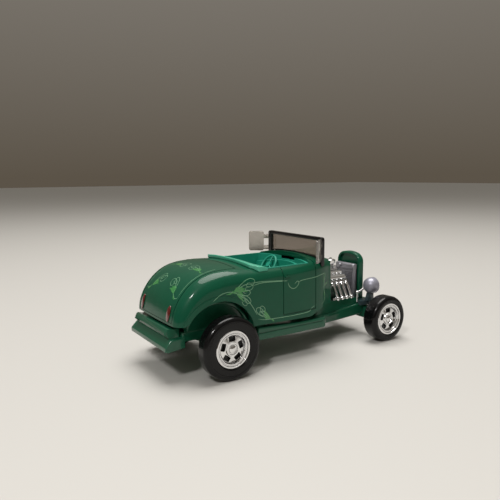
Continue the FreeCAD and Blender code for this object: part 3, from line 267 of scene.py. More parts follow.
# The roll behind the seat is the same teal plastic, mixed lighter: a painted highlight on its upward face.
LIT_TEAL_PAD = finish("lit_teal_pad", tint(58, 152, 124), tint(84, 178, 148), gloss=(0.36, 0.5), ripple=(5.0, 0.02))
BLACK_MOULDING = finish("black_moulding", tint(4, 4, 5), tint(14, 13, 13), gloss=(0.12, 0.3),
                        ripple=(0.8, 0.02), edges=(tint(60, 58, 56), 0.08), shade=0.2,
                        Specular_IOR_Level=0.25, Coat_Weight=0.25)
PLATED_CHROME = finish("plated_chrome", tint(222, 222, 224), tint(240, 240, 240), gloss=(0.05, 0.16),
                       ripple=(0.9, 0.02), shade=0.7, Metallic=1.0)
SILVER_CASTING = finish("silver_casting", tint(150, 150, 152), tint(190, 190, 192), gloss=(0.25, 0.45),
                        ripple=(4.0, 0.03), edges=(tint(230, 230, 230), 0.4), Metallic=1.0)
DULL_SILVER = finish("dull_silver", tint(104, 104, 110), tint(138, 138, 146), gloss=(0.4, 0.6),
                     ripple=(5.0, 0.03),
                     edges=(tint(190, 190, 196), 0.4), Metallic=0.7)
LAMP_LACQUER = finish("lamp_lacquer", tint(134, 134, 148), tint(166, 166, 178), gloss=(0.4, 0.5),
                      ripple=(3.0, 0.01), Metallic=0.5, Coat_Weight=0.4, Coat_Roughness=0.15)
BRACKET_GREY = finish("bracket_grey", tint(42, 58, 62), tint(62, 80, 84), gloss=(0.25, 0.4),
                      ripple=(2.0, 0.02))
RED_LENS = finish("red_lens", tint(74, 12, 10), tint(104, 26, 20), gloss=(0.12, 0.2), ripple=(2.0, 0.01),
                  Coat_Weight=0.8, Coat_Roughness=0.05)
TYRE_COMPOUND = finish("tyre_compound", tint(2, 2, 2), tint(7, 7, 8), gloss=(0.16, 0.34), ripple=(1.2, 0.02),
                       edges=(tint(44, 44, 46), 0.08), shade=0.2, Specular_IOR_Level=0.2, Coat_Weight=0.25,
                       Coat_IOR=1.35, Coat_Roughness=0.08)
DRAWN_WIRE = finish("drawn_wire", tint(150, 148, 145), tint(190, 188, 184), gloss=(0.22, 0.4),
                    ripple=(8.0, 0.02),
                    Metallic=1.0)
SMOKED_PANE = finish("smoked_pane", tint(132, 122, 112), tint(146, 134, 122), gloss=(0.04, 0.1),
                     ripple=(0.5, 0.01), shade=0.3, IOR=1.45, Transmission_Weight=0.92)
PALE_PANE = finish("pale_pane", tint(196, 190, 184), tint(208, 202, 196), gloss=(0.08, 0.16),
                   ripple=(0.8, 0.01), shade=0.1, IOR=1.4, Transmission_Weight=0.75)
CLEAR_LENS = finish("clear_lens", tint(214, 220, 224), tint(232, 236, 240), gloss=(0.03, 0.08),
                    ripple=(1.5, 0.02), shade=0.2, IOR=1.49, Transmission_Weight=0.9)
STRIPE_PALE = finish("stripe_pale", tint(84, 140, 104), tint(112, 160, 126), gloss=(0.2, 0.3),
                     ripple=(2.0, 0.01),
                     shade=0.0, Coat_Weight=0.8, Coat_Roughness=0.05)
STRIPE_BRIGHT = finish("stripe_bright", tint(34, 116, 52), tint(56, 142, 70), gloss=(0.2, 0.3),
                       ripple=(2.0, 0.01),
                       shade=0.0, Coat_Weight=0.8, Coat_Roughness=0.05)

FINISH_OF_SLOT = {
    "body_paint": GREEN_LACQUER, "chassis_paint": GREEN_CHASSIS, "cockpit_plastic": TEAL_MOULDING,
    "frame_black": BLACK_MOULDING, "smoke_clear": SMOKED_PANE, "bright_plating": PLATED_CHROME,
    "cast_alloy": SILVER_CASTING, "radiator_silver": DULL_SILVER, "lamp_silver": LAMP_LACQUER,
    "bracket_grey": BRACKET_GREY, "lens_clear": CLEAR_LENS, "lamp_red": RED_LENS,
    "tyre_black": TYRE_COMPOUND, "axle_steel": DRAWN_WIRE,
}
slot_of_node = {part["node"]: part["material_slot"] for part in frame["record"]["subparts"]}
for node_name, cad_piece in nodes.items():
    cad_piece.data.materials.clear()
    cad_piece.data.materials.append(FINISH_OF_SLOT[slot_of_node[node_name]])
print(len(FINISH_OF_SLOT), "finishes on", len(nodes), "nodes")

# %% [markdown]
# ## Turned wheels
# A toy wheel is two mouldings: a glossy black tyre and a plated rim pressed into it. Both are round,
# so the natural tool is the lathe: a half outline is turned about the axle. Blender's Screw modifier
# could do it, but turning the points in code lets the outline be built from arcs with real radii.
# The five slots are then cut with a Boolean, and a small bevel gives every rim edge the bright
# line that plating shows.
# %% Lathe, cutter and edge tools
CAR = "car"
SIDES = {"right": -1, "left": 1}


def turn(profile, steps=96):
    """Turns a closed outline of (across, radius) millimetres about the Y axis."""
    work = bmesh.new()
    rings = []
    for step in range(steps):
        angle = 2 * math.pi * step / steps
        rings.append([work.verts.new((r * math.sin(angle), a, r * math.cos(angle))) for a, r in profile])
    for step, ring in enumerate(rings):
        following = rings[(step + 1) % steps]
        for i in range(len(profile)):
            j = (i + 1) % len(profile)
            work.faces.new((ring[i], ring[j], following[j], following[i]))
    bmesh.ops.remove_doubles(work, verts=work.verts, dist=0.001)
    bmesh.ops.recalc_face_normals(work, faces=work.faces)
    return work


def block(outline, depth_from, depth_to):
    """A prism along Y from a closed (x, z) outline in millimetres."""
    work = bmesh.new()
    near = [work.verts.new((x, depth_from, z)) for x, z in outline]
    far = [work.verts.new((x, depth_to, z)) for x, z in outline]
    work.faces.new(near)
    work.faces.new(list(reversed(far)))
    for i in range(len(outline)):
        j = (i + 1) % len(outline)
        work.faces.new((near[j], near[i], far[i], far[j]))
    bmesh.ops.recalc_face_normals(work, faces=work.faces)
    return work


def join(works):
    """Several shapes as one mesh in the making; the first one is kept."""
    for extra in works[1:]:
        spare = bpy.data.meshes.new("spare")
        extra.to_mesh(spare)
        works[0].from_mesh(spare)
        extra.free()
        bpy.data.meshes.remove(spare)
    return works[0]


def cut_away(work, cutter):
    """Boolean difference of two shapes, done in millimetres where the solver is at ease."""
    holders = []
    for shape in (work, cutter):
        mesh = bpy.data.meshes.new("bench")
        shape.to_mesh(mesh)
        shape.free()
        holder = bpy.data.objects.new("bench", mesh)
        bpy.context.scene.collection.objects.link(holder)
        holders.append(holder)
    modifier = holders[0].modifiers.new("cut", "BOOLEAN")
    modifier.object = holders[1]
    modifier.solver = "EXACT"
    done = holders[0].evaluated_get(bpy.context.evaluated_depsgraph_get()).to_mesh()
    result = bmesh.new()
    result.from_mesh(done)
    for holder in holders:
        mesh = holder.data
        bpy.data.objects.remove(holder)
        bpy.data.meshes.remove(mesh)
    return result


def round_edges(work, radius, sharp=30, segments=2):
    """A small radius, in millimetres, on every edge that turns more than sharp degrees."""
    limit = math.radians(sharp)
    edges = [edge for edge in work.edges if edge.is_manifold and edge.calc_face_angle(0) > limit]
    bmesh.ops.bevel(work, geom=edges, offset=radius, segments=segments, profile=0.5, affect="EDGES",
                    clamp_overlap=True)
    return work


def add_piece(name, work, material, body, stands_for=(), centre=(0, 0, 0), side=-1, smooth=35):
    """Turns a millimetre shape into a finished piece that rides on a CAD body.

    A shape is made for the right-hand side; side 1 mirrors it to the left."""
    for vertex in work.verts:
        vertex.co = (vertex.co.x, -side * vertex.co.y, vertex.co.z)
    if side > 0:
        bmesh.ops.reverse_faces(work, faces=work.faces)
    bmesh.ops.transform(work, matrix=Matrix.Translation(centre) @ Matrix.Scale(MM, 4), verts=work.verts)
    mesh = bpy.data.meshes.new(name)
    work.to_mesh(mesh)
    work.free()
    mesh.shade_smooth()
    mesh.set_sharp_from_angle(angle=math.radians(smooth))
    mesh.materials.append(material)
    piece = bpy.data.objects.new(name, mesh)
    bpy.context.scene.collection.objects.link(piece)
    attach(piece, body)
    if stands_for:
        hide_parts(*stands_for)
    return piece


print("shape tools: turn, block, join, cut_away, round_edges, add_piece")

# %% [markdown]
# ### The tyre
# The real tyre is one solid black moulding. Its outline has a flat tread, round shoulders and a thin
# ring that stands out of the side wall, and it is drawn once for one side and mirrored to the other.
# %% Tyres
def arc(centre, radius, start, end, count):
    """Points of an arc; angles in degrees from straight across towards the tread."""
    points = []
    for i in range(count + 1):
        angle = math.radians(start + (end - start) * i / count)
        points.append((centre[0] + radius * math.cos(angle), centre[1] + radius * math.sin(angle)))
    return points


def tyre_outline(radius, width, bead):
    """Smooth tread, round shoulders and a thin raised ring on each side wall."""
    shoulder = 0.85
    wall = 0.05                      # the side wall sits just inside the ring's face
    ring = radius - shoulder - 0.1
    outer = [(0.55, bead), (0.3, bead + 0.02), (0.14, bead + 0.14), (wall, bead + 0.45), (wall, ring - 0.14),
             (0.0, ring - 0.08), (0.0, ring), (wall, ring + 0.06)]
    outer += arc((wall + shoulder, radius - shoulder), shoulder, 176, 90, 10)
    inner = [(width - across, height) for across, height in reversed(outer)]
    crown = [(width / 2, radius)]
    return outer + crown + inner


AXLE_NAMES = ("front", "rear")
for end in AXLE_NAMES:
    for side_name, side in SIDES.items():
        node = end + "_tyre_" + side_name
        low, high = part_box(node)
        radius = (high.z - low.z) / 2 / MM
        width = (high.y - low.y) / MM
        bead = (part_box(end + "_rim_" + side_name)[1].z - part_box(end + "_rim_" + side_name)[0].z) / 2 / MM
        outer_face = low.y if side < 0 else high.y
        centre = ((low.x + high.x) / 2, outer_face, (low.z + high.z) / 2)
        skin = turn(tyre_outline(radius, width, bead), 128)
        add_piece(end + "_tyre_skin_" + side_name, skin, TYRE_COMPOUND, end + "_wheelset",
                  (node,), centre, side)
    print(end, "tyres: radius", round(radius, 2), "width", round(width, 2), "bead", round(bead, 2))


# %% [markdown]
# ### The rim
# The plated rim is a deep dish. The steps in its outline are what make the bright and dark rings, so
# they are drawn and not left to a bump. The slots are cut through, and a dark disc closes them.
# %% Rims
def rim_outline(bead):
    """Rolled lip, two steps down into the dish, slotted disc, hub ring and centre well."""
    return [(0.6, bead), (0.2, bead), (0.12, bead - 0.1), (0.12, bead - 0.34), (0.42, bead - 0.42),
            (0.42, bead - 0.6), (0.28, bead - 0.66), (0.28, bead - 0.82), (0.95, bead - 0.98),
            (0.95, bead - 1.08), (0.72, bead - 1.16), (0.68, 1.42), (0.36, 1.3), (0.36, 1.1), (0.62, 1.0),
            (0.6, 0.78), (0.42, 0.72), (0.36, 0.56), (0.28, 0.36), (0.24, 0.18), (0.23, 0.0), (1.15, 0.0),
            (1.15, bead - 0.9), (1.6, bead - 0.5), (1.6, bead)]


SLOT_HALF_LONG = 0.74            # round the wheel, mm
SLOT_HALF_SHORT = 0.48           # across it
SLOT_CORNER = 0.2


def slot_cutter(bead, count=5):
    """Rounded slots, longer round the wheel than across it."""
    reach = (1.5 + bead - 1.2) / 2
    outline = []
    for corner, (sx, sz) in enumerate(((1, 1), (-1, 1), (-1, -1), (1, -1))):
        centre = (sx * (SLOT_HALF_LONG - SLOT_CORNER), reach + sz * (SLOT_HALF_SHORT - SLOT_CORNER))
        outline += arc(centre, SLOT_CORNER, 90 * corner, 90 * corner + 90, 3)
    slots = []
    for i in range(count):
        slot = block(outline, -0.5, 3.0)
        turned = Matrix.Rotation(2 * math.pi * i / count, 4, "Y")
        bmesh.ops.transform(slot, matrix=turned, verts=slot.verts)
        slots.append(slot)
    return join(slots)


def slot_backing(bead):
    """Dark disc of the tyre moulding that shows through the slots."""
    return [(1.22, 0.9), (1.22, bead - 1.0), (1.35, bead - 1.0), (1.35, 0.9)]


for end in AXLE_NAMES:
    for side_name, side in SIDES.items():
        node = end + "_rim_" + side_name
        low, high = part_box(node)
        tyre_low, tyre_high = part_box(end + "_tyre_" + side_name)
        bead = (high.z - low.z) / 2 / MM
        outer_face = tyre_low.y if side < 0 else tyre_high.y
        centre = ((low.x + high.x) / 2, outer_face, (low.z + high.z) / 2)
        face = round_edges(cut_away(turn(rim_outline(bead)), slot_cutter(bead)), 0.05, 28)
        add_piece(end + "_rim_plated_" + side_name, face, PLATED_CHROME,
                  end + "_wheelset", (node,), centre, side, smooth=40)
        add_piece(end + "_slot_backing_" + side_name, turn(slot_backing(bead)), TYRE_COMPOUND,
                  end + "_wheelset", (), centre, side)
print("four plated rims with five slots and a domed hub each")

# %% [markdown]
# ## Soft edges on the mouldings
# A casting or moulding never has knife edges: paint and draft round every corner, and that thin
# round is what catches the light. Each angular CAD piece gets a copy whose doubled corners are
# welded, whose flat triangles are dissolved back into whole faces, and whose sharp edges are
# bevelled. The copy stands for the CAD piece, which is left as it is.
# %% Rounded copies of the angular pieces
def softened(node, radius, sharp=30, material=None):
    """A welded, flattened and bevelled copy of one CAD piece that stands for it."""
    work = bmesh.new()
    work.from_mesh(nodes[node].data)
    bmesh.ops.transform(work, matrix=Matrix.Scale(1 / MM, 4), verts=work.verts)
    bmesh.ops.remove_doubles(work, verts=work.verts, dist=0.004)
    bmesh.ops.dissolve_degenerate(work, edges=work.edges, dist=0.004)
    bmesh.ops.dissolve_limit(work, angle_limit=math.radians(2), verts=work.verts, edges=work.edges)
    round_edges(work, radius, sharp)
    if not material:
        material = nodes[node].data.materials[0]
    return add_piece(node + "_rounded", work, material, CAR, (node,))


ROUNDED = {
    "windshield_frame": 0.12, "radiator_shell": 0.1, "chassis": 0.1, "engine_block": 0.12, "intake": 0.1,
    "carburettor": 0.08, "radiator_core": 0.05, "lamp_stand_right": 0.12, "lamp_stand_left": 0.12,
    "front_beam": 0.12, "tail_lamp_right": 0.08, "tail_lamp_left": 0.08, "wind_wing_right": 0.06,
    "wind_wing_left": 0.06, "bench_seat": 0.15,
}
for node, radius in ROUNDED.items():
    rounded = softened(node, radius, material=PALE_PANE if node.startswith("wind_wing") else None)
    print(rounded.name, len(rounded.data.polygons), "faces")

# %% [markdown]
# ## Pinstripes
# The striper's lines lie on the lacquer as a very thin film, so each one is a narrow ribbon of its
# own, laid on the skin. A texture could carry the artwork, but ribbons stay crisp at any distance.
# A stroke starts as a few given points, seen from the side or from above, is smoothed into
# a curve and is dropped on the body by casting a ray for every small step. The scrolls are a
# made-up pattern: scrolls and feathers that fan out from one root.
# %% Laying a stroke on the skin
skin_mesh = nodes["body_shell"].data
skin_corners = [vertex.co.copy() for vertex in skin_mesh.vertices]
SKIN = BVHTree.FromPolygons(skin_corners, [tuple(face.vertices) for face in skin_mesh.polygons])
REAR_AXLE_X = (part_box("rear_axle")[0].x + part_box("rear_axle")[1].x) / 2 / MM
FILM = 0.02                      # the ribbon's height over the lacquer, mm
OUTSIDE_Y = 20                   # clear of the body's sides, mm
ABOVE_Z = 40                     # clear of its top


def seen_from_side(ahead, height, side):
    """Skin point at a distance ahead of the rear axle and a height above ground, all in mm."""
    start = Vector(((REAR_AXLE_X + ahead) * MM, side * OUTSIDE_Y * MM, height * MM))
    return SKIN.ray_cast(start, Vector((0, -side, 0)))


def seen_from_above(ahead, across, side):
    """The same from above, at a distance out from the middle of the car."""
    start = Vector(((REAR_AXLE_X + ahead) * MM, side * across * MM, ABOVE_Z * MM))
    return SKIN.ray_cast(start, Vector((0, 0, -1)))


def smooth_line(points, step=0.22):
    """A Catmull-Rom curve through the points, sampled every step millimetres or so."""
    line = []
    padded = [points[0]] + list(points) + [points[-1]]
    for a, b, c, d in zip(padded, padded[1:], padded[2:], padded[3:]):
        count = max(2, round(math.dist(b, c) / step))
        for i in range(count):
            t = i / count
            line.append(tuple(0.5 * (2 * q + (r - p) * t + (2 * p - 5 * q + 4 * r - s) * t * t
                                     + (3 * q - p - 3 * r + s) * t ** 3) for p, q, r, s in zip(a, b, c, d)))
    return line + [points[-1]]


def lay_stroke(work, points, width, view, side, taper=0.3):
    """Adds one ribbon; taper is the share of its length over which each end narrows."""
    line = smooth_line(points)
    spots = []
    for u, v in line:
        place, normal, _, _ = view(u, v, side)
        if place is None:
            return
        if normal.dot(Vector((0, side, 0)) + Vector((0, 0, 1))) < 0:
            normal = -normal
        spots.append((place / MM, normal))
    rows = []
    last = len(spots) - 1
    for i, (place, normal) in enumerate(spots):
        ahead = spots[min(i + 1, last)][0] - spots[max(i - 1, 0)][0]
        across = normal.cross(ahead)
        if across.length < 1e-6:
            return
        across.normalize()
        near_end = min(i, last - i) / last / taper if taper else 1
        half = width / 2 * max(0.12, min(1.0, near_end) ** 0.7)
        lifted = place + normal * FILM
        dip = normal * FILM * 0.5      # the ribbon's borders lie lower than its middle
        rows.append([work.verts.new(lifted + across * half * k - dip * abs(k)) for k in (-1, 0, 1)])
    for row, following in zip(rows, rows[1:]):
        for k in (0, 1):
            work.faces.new((row[k], row[k + 1], following[k + 1], following[k]))


print("lacquer skin:", len(skin_corners), "corners, rear axle at x", round(REAR_AXLE_X, 2), "mm")

# %% [markdown]
# ### The scrolls
# A striper pulls a scroll in one stroke: out to the tip, over it, and back inside itself. Each stroke
# is a short list of points along and beside a ray from the root, so a scroll can be turned and
# resized freely. Points on the side are (ahead of the rear axle, height) and points on the deck are
# (ahead of the rear axle, out from the middle), all in millimetres.
# %% The scroll pattern
LINE_W = 0.13
SCROLL_W = 0.12
FEATHER_W = 0.55
TAIL_FEATHER_W = 0.42
COWL_FEATHER_W = 0.26


def on_ray(root, heading, reach, off=0.0):
    """Point at a distance from the root along a heading in degrees, moved sideways by off."""
    angle = math.radians(heading)
    return (root[0] + reach * math.cos(angle) - off * math.sin(angle),
            root[1] + reach * math.sin(angle) + off * math.cos(angle))


def scroll_stroke(root, heading, reach, belly):
    """A scroll: swings out to the tip, turns over it and curls back inside itself."""
    shape = ((0, 0), (0.3, 0.7), (0.62, 1.25), (0.9, 1.1), (1.03, 0.35), (0.92, -0.4), (0.7, -0.45),
             (0.6, 0.1), (0.7, 0.5), (0.82, 0.3))
    return [on_ray(root, heading, reach * along, belly * off) for along, off in shape]


def feather_stroke(root, heading, reach, bend):
    """A short bowed stroke, laid wide so that it fills."""
    shape = ((0, 0), (0.35, 0.5), (0.7, 0.8), (1.0, 0.55))
    return [on_ray(root, heading, reach * along, bend * off) for along, off in shape]


def lay_plume(pale, bright, root, heading, reach, view, side, fan=(7, -5, -15), feathers=4):
    """Scrolls that fan from one root, the last one bent the other way, over bright feathers."""
    for order, turn_by in enumerate(fan):
        size = reach * (1 - 0.13 * order)
        bend = -1 if order == 2 else 1
        curl = scroll_stroke(root, heading + turn_by, size, bend * 0.17 * size)
        lay_stroke(pale, curl, SCROLL_W, view, side, taper=0.1)
    for i in range(feathers):
        spread = (i / (feathers - 1) - 0.5) * 34
        length = reach * (0.62 - 0.09 * i)
        feather = feather_stroke(root, heading + spread, length, 0.3)
        lay_stroke(bright, feather, FEATHER_W, view, side, taper=0.5)
    tail = feather_stroke(root, heading + 172, reach * 0.34, 0.25)
    lay_stroke(bright, tail, TAIL_FEATHER_W, view, side, taper=0.7)


BELT = [(5.6, 17.35), (8.0, 17.4), (10.5, 17.25), (13.0, 17.05), (14.6, 16.85)]
BELT_UNDER = [(6.2, 16.85), (8.2, 17.15), (10.6, 17.1), (13.0, 16.95), (14.6, 16.85)]
DROP = [(14.7, 16.5), (15.0, 15.7), (15.9, 15.1), (16.9, 15.3), (17.5, 16.1), (17.2, 16.5), (16.3, 16.0)]
BELT_AHEAD = [(17.3, 15.9), (18.0, 16.45), (19.8, 16.6), (22.2, 16.7), (24.2, 16.95), (25.9, 17.1)]
ARCH_TAIL = [(2.0, 16.1), (0.9, 16.25), (-0.4, 16.1), (-1.6, 15.6), (-2.6, 14.9)]
ARCH_RUN = [(2.6, 15.7), (4.2, 14.8), (5.4, 13.6), (6.4, 12.2), (7.1, 11.0)]
SILL = [(7.3, 10.1), (9.0, 9.75), (12.0, 9.6), (16.0, 9.5), (19.2, 9.55), (20.6, 9.75), (21.3, 10.4),
        (22.6, 10.7)]
COWL_UPRIGHT = [(25.9, 17.1), (25.5, 15.8), (25.2, 14.2), (25.5, 12.6), (25.3, 11.2), (24.3, 10.5)]
LID_EDGE = [(-8.0, 7.0), (-6.6, 7.0), (-4.4, 7.0), (-2.0, 6.9), (0.2, 6.7)]
LID_FOOT = [(-8.0, 7.0), (-8.25, 6.2), (-7.9, 5.0), (-7.6, 4.2)]


def stripe_side(side_name, side):
    """All strokes on one half of the car, as one pale and one bright piece."""
    pale, bright = bmesh.new(), bmesh.new()
    for line in (BELT, BELT_UNDER, DROP, BELT_AHEAD, ARCH_TAIL, ARCH_RUN, SILL, COWL_UPRIGHT):
        lay_stroke(pale, line, LINE_W, seen_from_side, side, taper=0.12)
    lay_plume(pale, bright, (1.9, 16.1), 10, 4.9, seen_from_side, side)
    lay_plume(pale, bright, (2.5, 15.7), -36, 3.6, seen_from_side, side, fan=(0, -16), feathers=3)
    lay_plume(pale, bright, (10.2, 9.85), 140, 3.9, seen_from_side, side, fan=(0, -13, 12), feathers=4)
    for height, heading in ((15.0, 80), (13.4, -80), (14.2, 20)):
        feather = feather_stroke((25.1, height), heading, 1.9, 0.2)
        lay_stroke(bright, feather, COWL_FEATHER_W, seen_from_side, side, 0.6)
    for line in (LID_EDGE, LID_FOOT):
        lay_stroke(pale, line, LINE_W, seen_from_above, side, taper=0.12)
    lay_plume(pale, bright, (-7.9, 5.0), -68, 3.9, seen_from_above, side, fan=(0, 15), feathers=4)
    lay_plume(pale, bright, (-2.5, 5.2), -80, 4.6, seen_from_above, side, fan=(0, -12), feathers=4)
    for work, material, tone in ((pale, STRIPE_PALE, "pale"), (bright, STRIPE_BRIGHT, "bright")):
        print(side_name, tone, "stripes:", len(work.faces), "faces")
        add_piece("pinstripe_" + tone + "_" + side_name, work, material, CAR)


for side_name, side in SIDES.items():
    stripe_side(side_name, side)

# %% [markdown]
# ## Exhaust headers
# Four short tubes drop from each cylinder head. Real ones are bent on a mandrel, so each is a
# round section carried along a smooth line, with a bead where it meets its flange. A Bezier curve
# with a bevel would do; here the section is carried in code so that the tube is a closed mesh.
# %% Bent tubes
def bend_tube(points, radius, around=14):
    """A closed round tube along a smooth line through the points."""
    line = [Vector(p) for p in smooth_line(points, 0.12)]
    work = bmesh.new()
    rings = []
    across = Vector((1, 0, 0))
    for i, place in enumerate(line):
        ahead = (line[min(i + 1, len(line) - 1)] - line[max(i - 1, 0)]).normalized()
        across = (across - ahead * across.dot(ahead)).normalized()
        other = ahead.cross(across)
        rings.append([work.verts.new(place + (across * math.cos(2 * math.pi * k / around)
                                              + other * math.sin(2 * math.pi * k / around)) * radius)
                      for k in range(around)])
    for ring, following in zip(rings, rings[1:]):
        for k in range(around):
            j = (k + 1) % around
            work.faces.new((ring[k], ring[j], following[j], following[k]))
    work.faces.new(list(reversed(rings[0])))
    work.faces.new(rings[-1])
    bmesh.ops.recalc_face_normals(work, faces=work.faces)
    return work


def weld_bead(place, radius):
    """The round swelling where a tube meets its flange."""
    work = bmesh.new()
    bmesh.ops.create_icosphere(work, subdivisions=3, radius=radius)
    bmesh.ops.transform(work, matrix=Matrix.Translation(place), verts=work.verts)
    return work


TUBES_A_SIDE = 4
PORT_PITCH = 1.4
PORT_RAKE = 0.7                  # how far a foot lies ahead of its port, mm
PORT_Y = 3.75                    # distance of the ports from the middle
FOOT_Y = 5.6
PORT_INSET = 0.42                # from the top of the CAD header down to the ports
FOOT_INSET = 0.54                # from its low and front faces in to the feet
TUBE_R = 0.36
COLLECTOR_R = 0.3
PORT_BEAD_R = 0.5
FOOT_BEAD_R = 0.52


def header_set(side_name, side):
    """Tubes between the CAD header's own corners: ports high and inboard, feet low and outboard."""
    low, high = (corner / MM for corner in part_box("header_" + side_name))
    foot_z, port_z = low.z + FOOT_INSET, high.z - PORT_INSET
    foot_y, port_y = FOOT_Y, PORT_Y
    last_foot = high.x - FOOT_INSET
    works = []
    for i in range(TUBES_A_SIDE):
        foot_x = last_foot - PORT_PITCH * i
        port_x = foot_x - PORT_RAKE
        line = [(port_x, -port_y, port_z), (port_x + 0.02, -port_y - 0.55, port_z + 0.02),
                (port_x + 0.16, -port_y - 0.95, port_z - 0.45),
                (foot_x - 0.2, -foot_y + 0.28, foot_z + 1.0), (foot_x, -foot_y, foot_z + 0.1)]
        works += [bend_tube(line, TUBE_R), weld_bead((port_x + 0.05, -port_y - 0.6, port_z), PORT_BEAD_R),
                  weld_bead((foot_x, -foot_y, foot_z), FOOT_BEAD_R)]
    collector = [(last_foot - PORT_PITCH * 3 - 1.6, -foot_y, foot_z),
                 (last_foot - 2, -foot_y, foot_z - 0.02), (last_foot + 0.2, -foot_y, foot_z)]
    works.append(bend_tube(collector, COLLECTOR_R))
    node = "header_" + side_name
    add_piece("header_tubes_" + side_name, join(works), PLATED_CHROME, CAR, (node,),
              side=side)


for side_name, side in SIDES.items():
    header_set(side_name, side)
print("two sets of four header tubes")

# %% [markdown]
# ## The roll behind the seat
# On a full-size car this would be a folded top under a padded cover. On the toy it is one hard,
# soft-looking moulding, so no cloth is simulated: the CAD shape is rebuilt from small even cubes with
# a Remesh, its corners are relaxed by averaging each point with its neighbours, and the tips of its
# arms are slimmed down.
# %% Relaxed moulding
ARM_TAPER_LENGTH = 5.0           # how far back from the tips the roll's arms slim down, mm
ARM_TOP_DROP = 1.3               # height under the roll's top above which they do
ARM_SLIMMING = 0.8               # share of that height lost at the very tip


def relaxed(node, voxel, rounds, material, name):
    """A softened, even-meshed copy of a CAD moulding that stands for it."""
    source = bmesh.new()
    source.from_mesh(nodes[node].data)
    bmesh.ops.transform(source, matrix=Matrix.Scale(1 / MM, 4), verts=source.verts)
    bmesh.ops.remove_doubles(source, verts=source.verts, dist=0.004)
    mesh = bpy.data.meshes.new("bench")
    source.to_mesh(mesh)
    source.free()
    holder = bpy.data.objects.new("bench", mesh)
    bpy.context.scene.collection.objects.link(holder)
    remesh = holder.modifiers.new("even cubes", "REMESH")
    remesh.mode = "VOXEL"
    remesh.voxel_size = voxel
    relax = holder.modifiers.new("relax", "SMOOTH")
    relax.factor = 0.5
    relax.iterations = rounds
    work = bmesh.new()
    work.from_mesh(holder.evaluated_get(bpy.context.evaluated_depsgraph_get()).to_mesh())
    bpy.data.objects.remove(holder)
    bpy.data.meshes.remove(mesh)
    front = max(v.co.x for v in work.verts)
    top = max(v.co.z for v in work.verts)
    for vertex in work.verts:
        near_tip = max(0.0, 1 - (front - vertex.co.x) / ARM_TAPER_LENGTH)
        vertex.co.z -= max(0.0, vertex.co.z - (top - ARM_TOP_DROP)) * ARM_SLIMMING * near_tip
    return add_piece(name, work, material, CAR, (node,), smooth=80)


# The roll's lighter teal is a painted highlight on the cockpit's own teal plastic.
roll = relaxed("tonneau_roll", 0.1, 16, LIT_TEAL_PAD, "tonneau_roll_soft")
print("tonneau roll:", len(roll.data.polygons), "faces")

# %% [markdown]
# ## The stage, the lights and the camera
# A toy this small is lit on a table top. The floor is one large pale sheet. A warm wall colour all
# round gives the lacquer something to reflect, a broad lamp overhead is the soft main light, and a
# smaller one behind the camera's left shoulder puts the short bright streaks on the haunch and tyres.
# %% Floor and surrounding light
def make_floor():
    half = 2.0
    mesh = bpy.data.meshes.new("floor")
    corners = [(-half, -half, 0), (half, -half, 0), (half, half, 0), (-half, half, 0)]
    mesh.from_pydata(corners, [], [(0, 1, 2, 3)])
    floor = bpy.data.objects.new("floor", mesh)
    bpy.context.scene.collection.objects.link(floor)
    sheet = bpy.data.materials.new("pale_sheet")
    sheet.use_nodes = True
    principled = sheet.node_tree.nodes["Principled BSDF"]
    principled.inputs["Base Color"].default_value = tint(196, 194, 190)
    principled.inputs["Roughness"].default_value = 0.6
    mesh.materials.append(sheet)
    return floor


def make_surroundings():
    """A warm wall above the horizon, fading to a paler ceiling."""
    world = bpy.data.worlds.new("warm_room")
    bpy.context.scene.world = world
    world.use_nodes = True
    tree = world.node_tree
    place = add_node(tree, "TexCoord")
    split = add_node(tree, "SeparateXYZ")
    ramp = add_node(tree, "ValToRGB")
    ramp.color_ramp.elements[0].color = tint(116, 106, 92)
    ramp.color_ramp.elements[1].color = tint(206, 202, 194)
    tree.links.new(place.outputs["Generated"], split.inputs[0])
    tree.links.new(split.outputs["Z"], ramp.inputs["Fac"])
    background = tree.nodes["Background"]
    background.inputs["Strength"].default_value = 0.6
    tree.links.new(ramp.outputs["Color"], background.inputs["Color"])


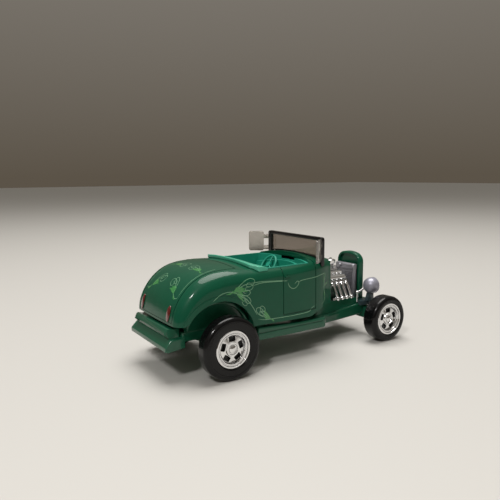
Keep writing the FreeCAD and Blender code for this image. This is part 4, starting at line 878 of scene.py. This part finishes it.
def add_lamp(name, place, aim, size, power, colour=(1, 1, 1)):
    lamp = bpy.data.lights.new(name, "AREA")
    lamp.shape = "DISK"
    lamp.size = size
    lamp.energy = power
    lamp.color = colour
    holder = bpy.data.objects.new(name, lamp)
    holder.location = place
    holder.rotation_euler = (Vector(aim) - Vector(place)).to_track_quat("-Z", "Y").to_euler()
    bpy.context.scene.collection.objects.link(holder)
    return holder


CAR_MIDDLE = (cad_box[0] + cad_box[1]) / 2
make_floor()
make_surroundings()
add_lamp("overhead", (0.05, 0.05, 0.45), CAR_MIDDLE, 0.35, 2.1, (1.0, 0.98, 0.95))
add_lamp("shoulder_lamp", (-0.22, -0.16, 0.26), CAR_MIDDLE, 0.05, 0.5, (1.0, 0.98, 0.96))
print("floor, surroundings and two lamps")

# %% [markdown]
# ### The camera
# A lens of about 38 mm held close and low makes the near wheel look large, as it does when a small
# toy is viewed from a hand's breadth away. The camera stands at a fixed place from the middle of the
# wheelbase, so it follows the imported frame.
# %% Camera
LENS = 38.05                     # on a sensor 36 mm wide
CAMERA_BEHIND = 69.545           # from the middle of the wheelbase, mm
CAMERA_ASIDE = 93.836            # out to the right of the car's middle
CAMERA_HEIGHT = 37.765
CAMERA_ANGLES = (56.97, 7.99, -0.391)  # turned from straight ahead, aimed down, rolled, in degrees


def add_camera():
    """Low, from behind the right rear wheel, with a very slight roll."""
    camera = bpy.data.objects.new("camera", bpy.data.cameras.new("camera"))
    camera.data.sensor_width = 36.0
    camera.data.lens = LENS
    camera.data.clip_start = 0.001
    azimuth, drop, roll = (math.radians(angle) for angle in CAMERA_ANGLES)
    back = Vector((-math.cos(azimuth) * math.cos(drop), -math.sin(azimuth) * math.cos(drop), math.sin(drop)))
    facing = (-back).to_track_quat("-Z", "Y").to_matrix() @ Matrix.Rotation(roll, 3, "Z")
    wheelbase_middle = (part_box("front_axle")[0].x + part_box("front_axle")[1].x
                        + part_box("rear_axle")[0].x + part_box("rear_axle")[1].x) / 4
    stand = Vector((wheelbase_middle - CAMERA_BEHIND * MM, -CAMERA_ASIDE * MM, CAMERA_HEIGHT * MM))
    camera.matrix_world = Matrix.Translation(stand) @ facing.to_4x4()
    bpy.context.scene.collection.objects.link(camera)
    bpy.context.scene.camera = camera


add_camera()
print("camera", round(bpy.context.scene.camera.location.z / MM, 1), "mm above the floor")
bpy.context.scene.view_settings.view_transform = "Standard"
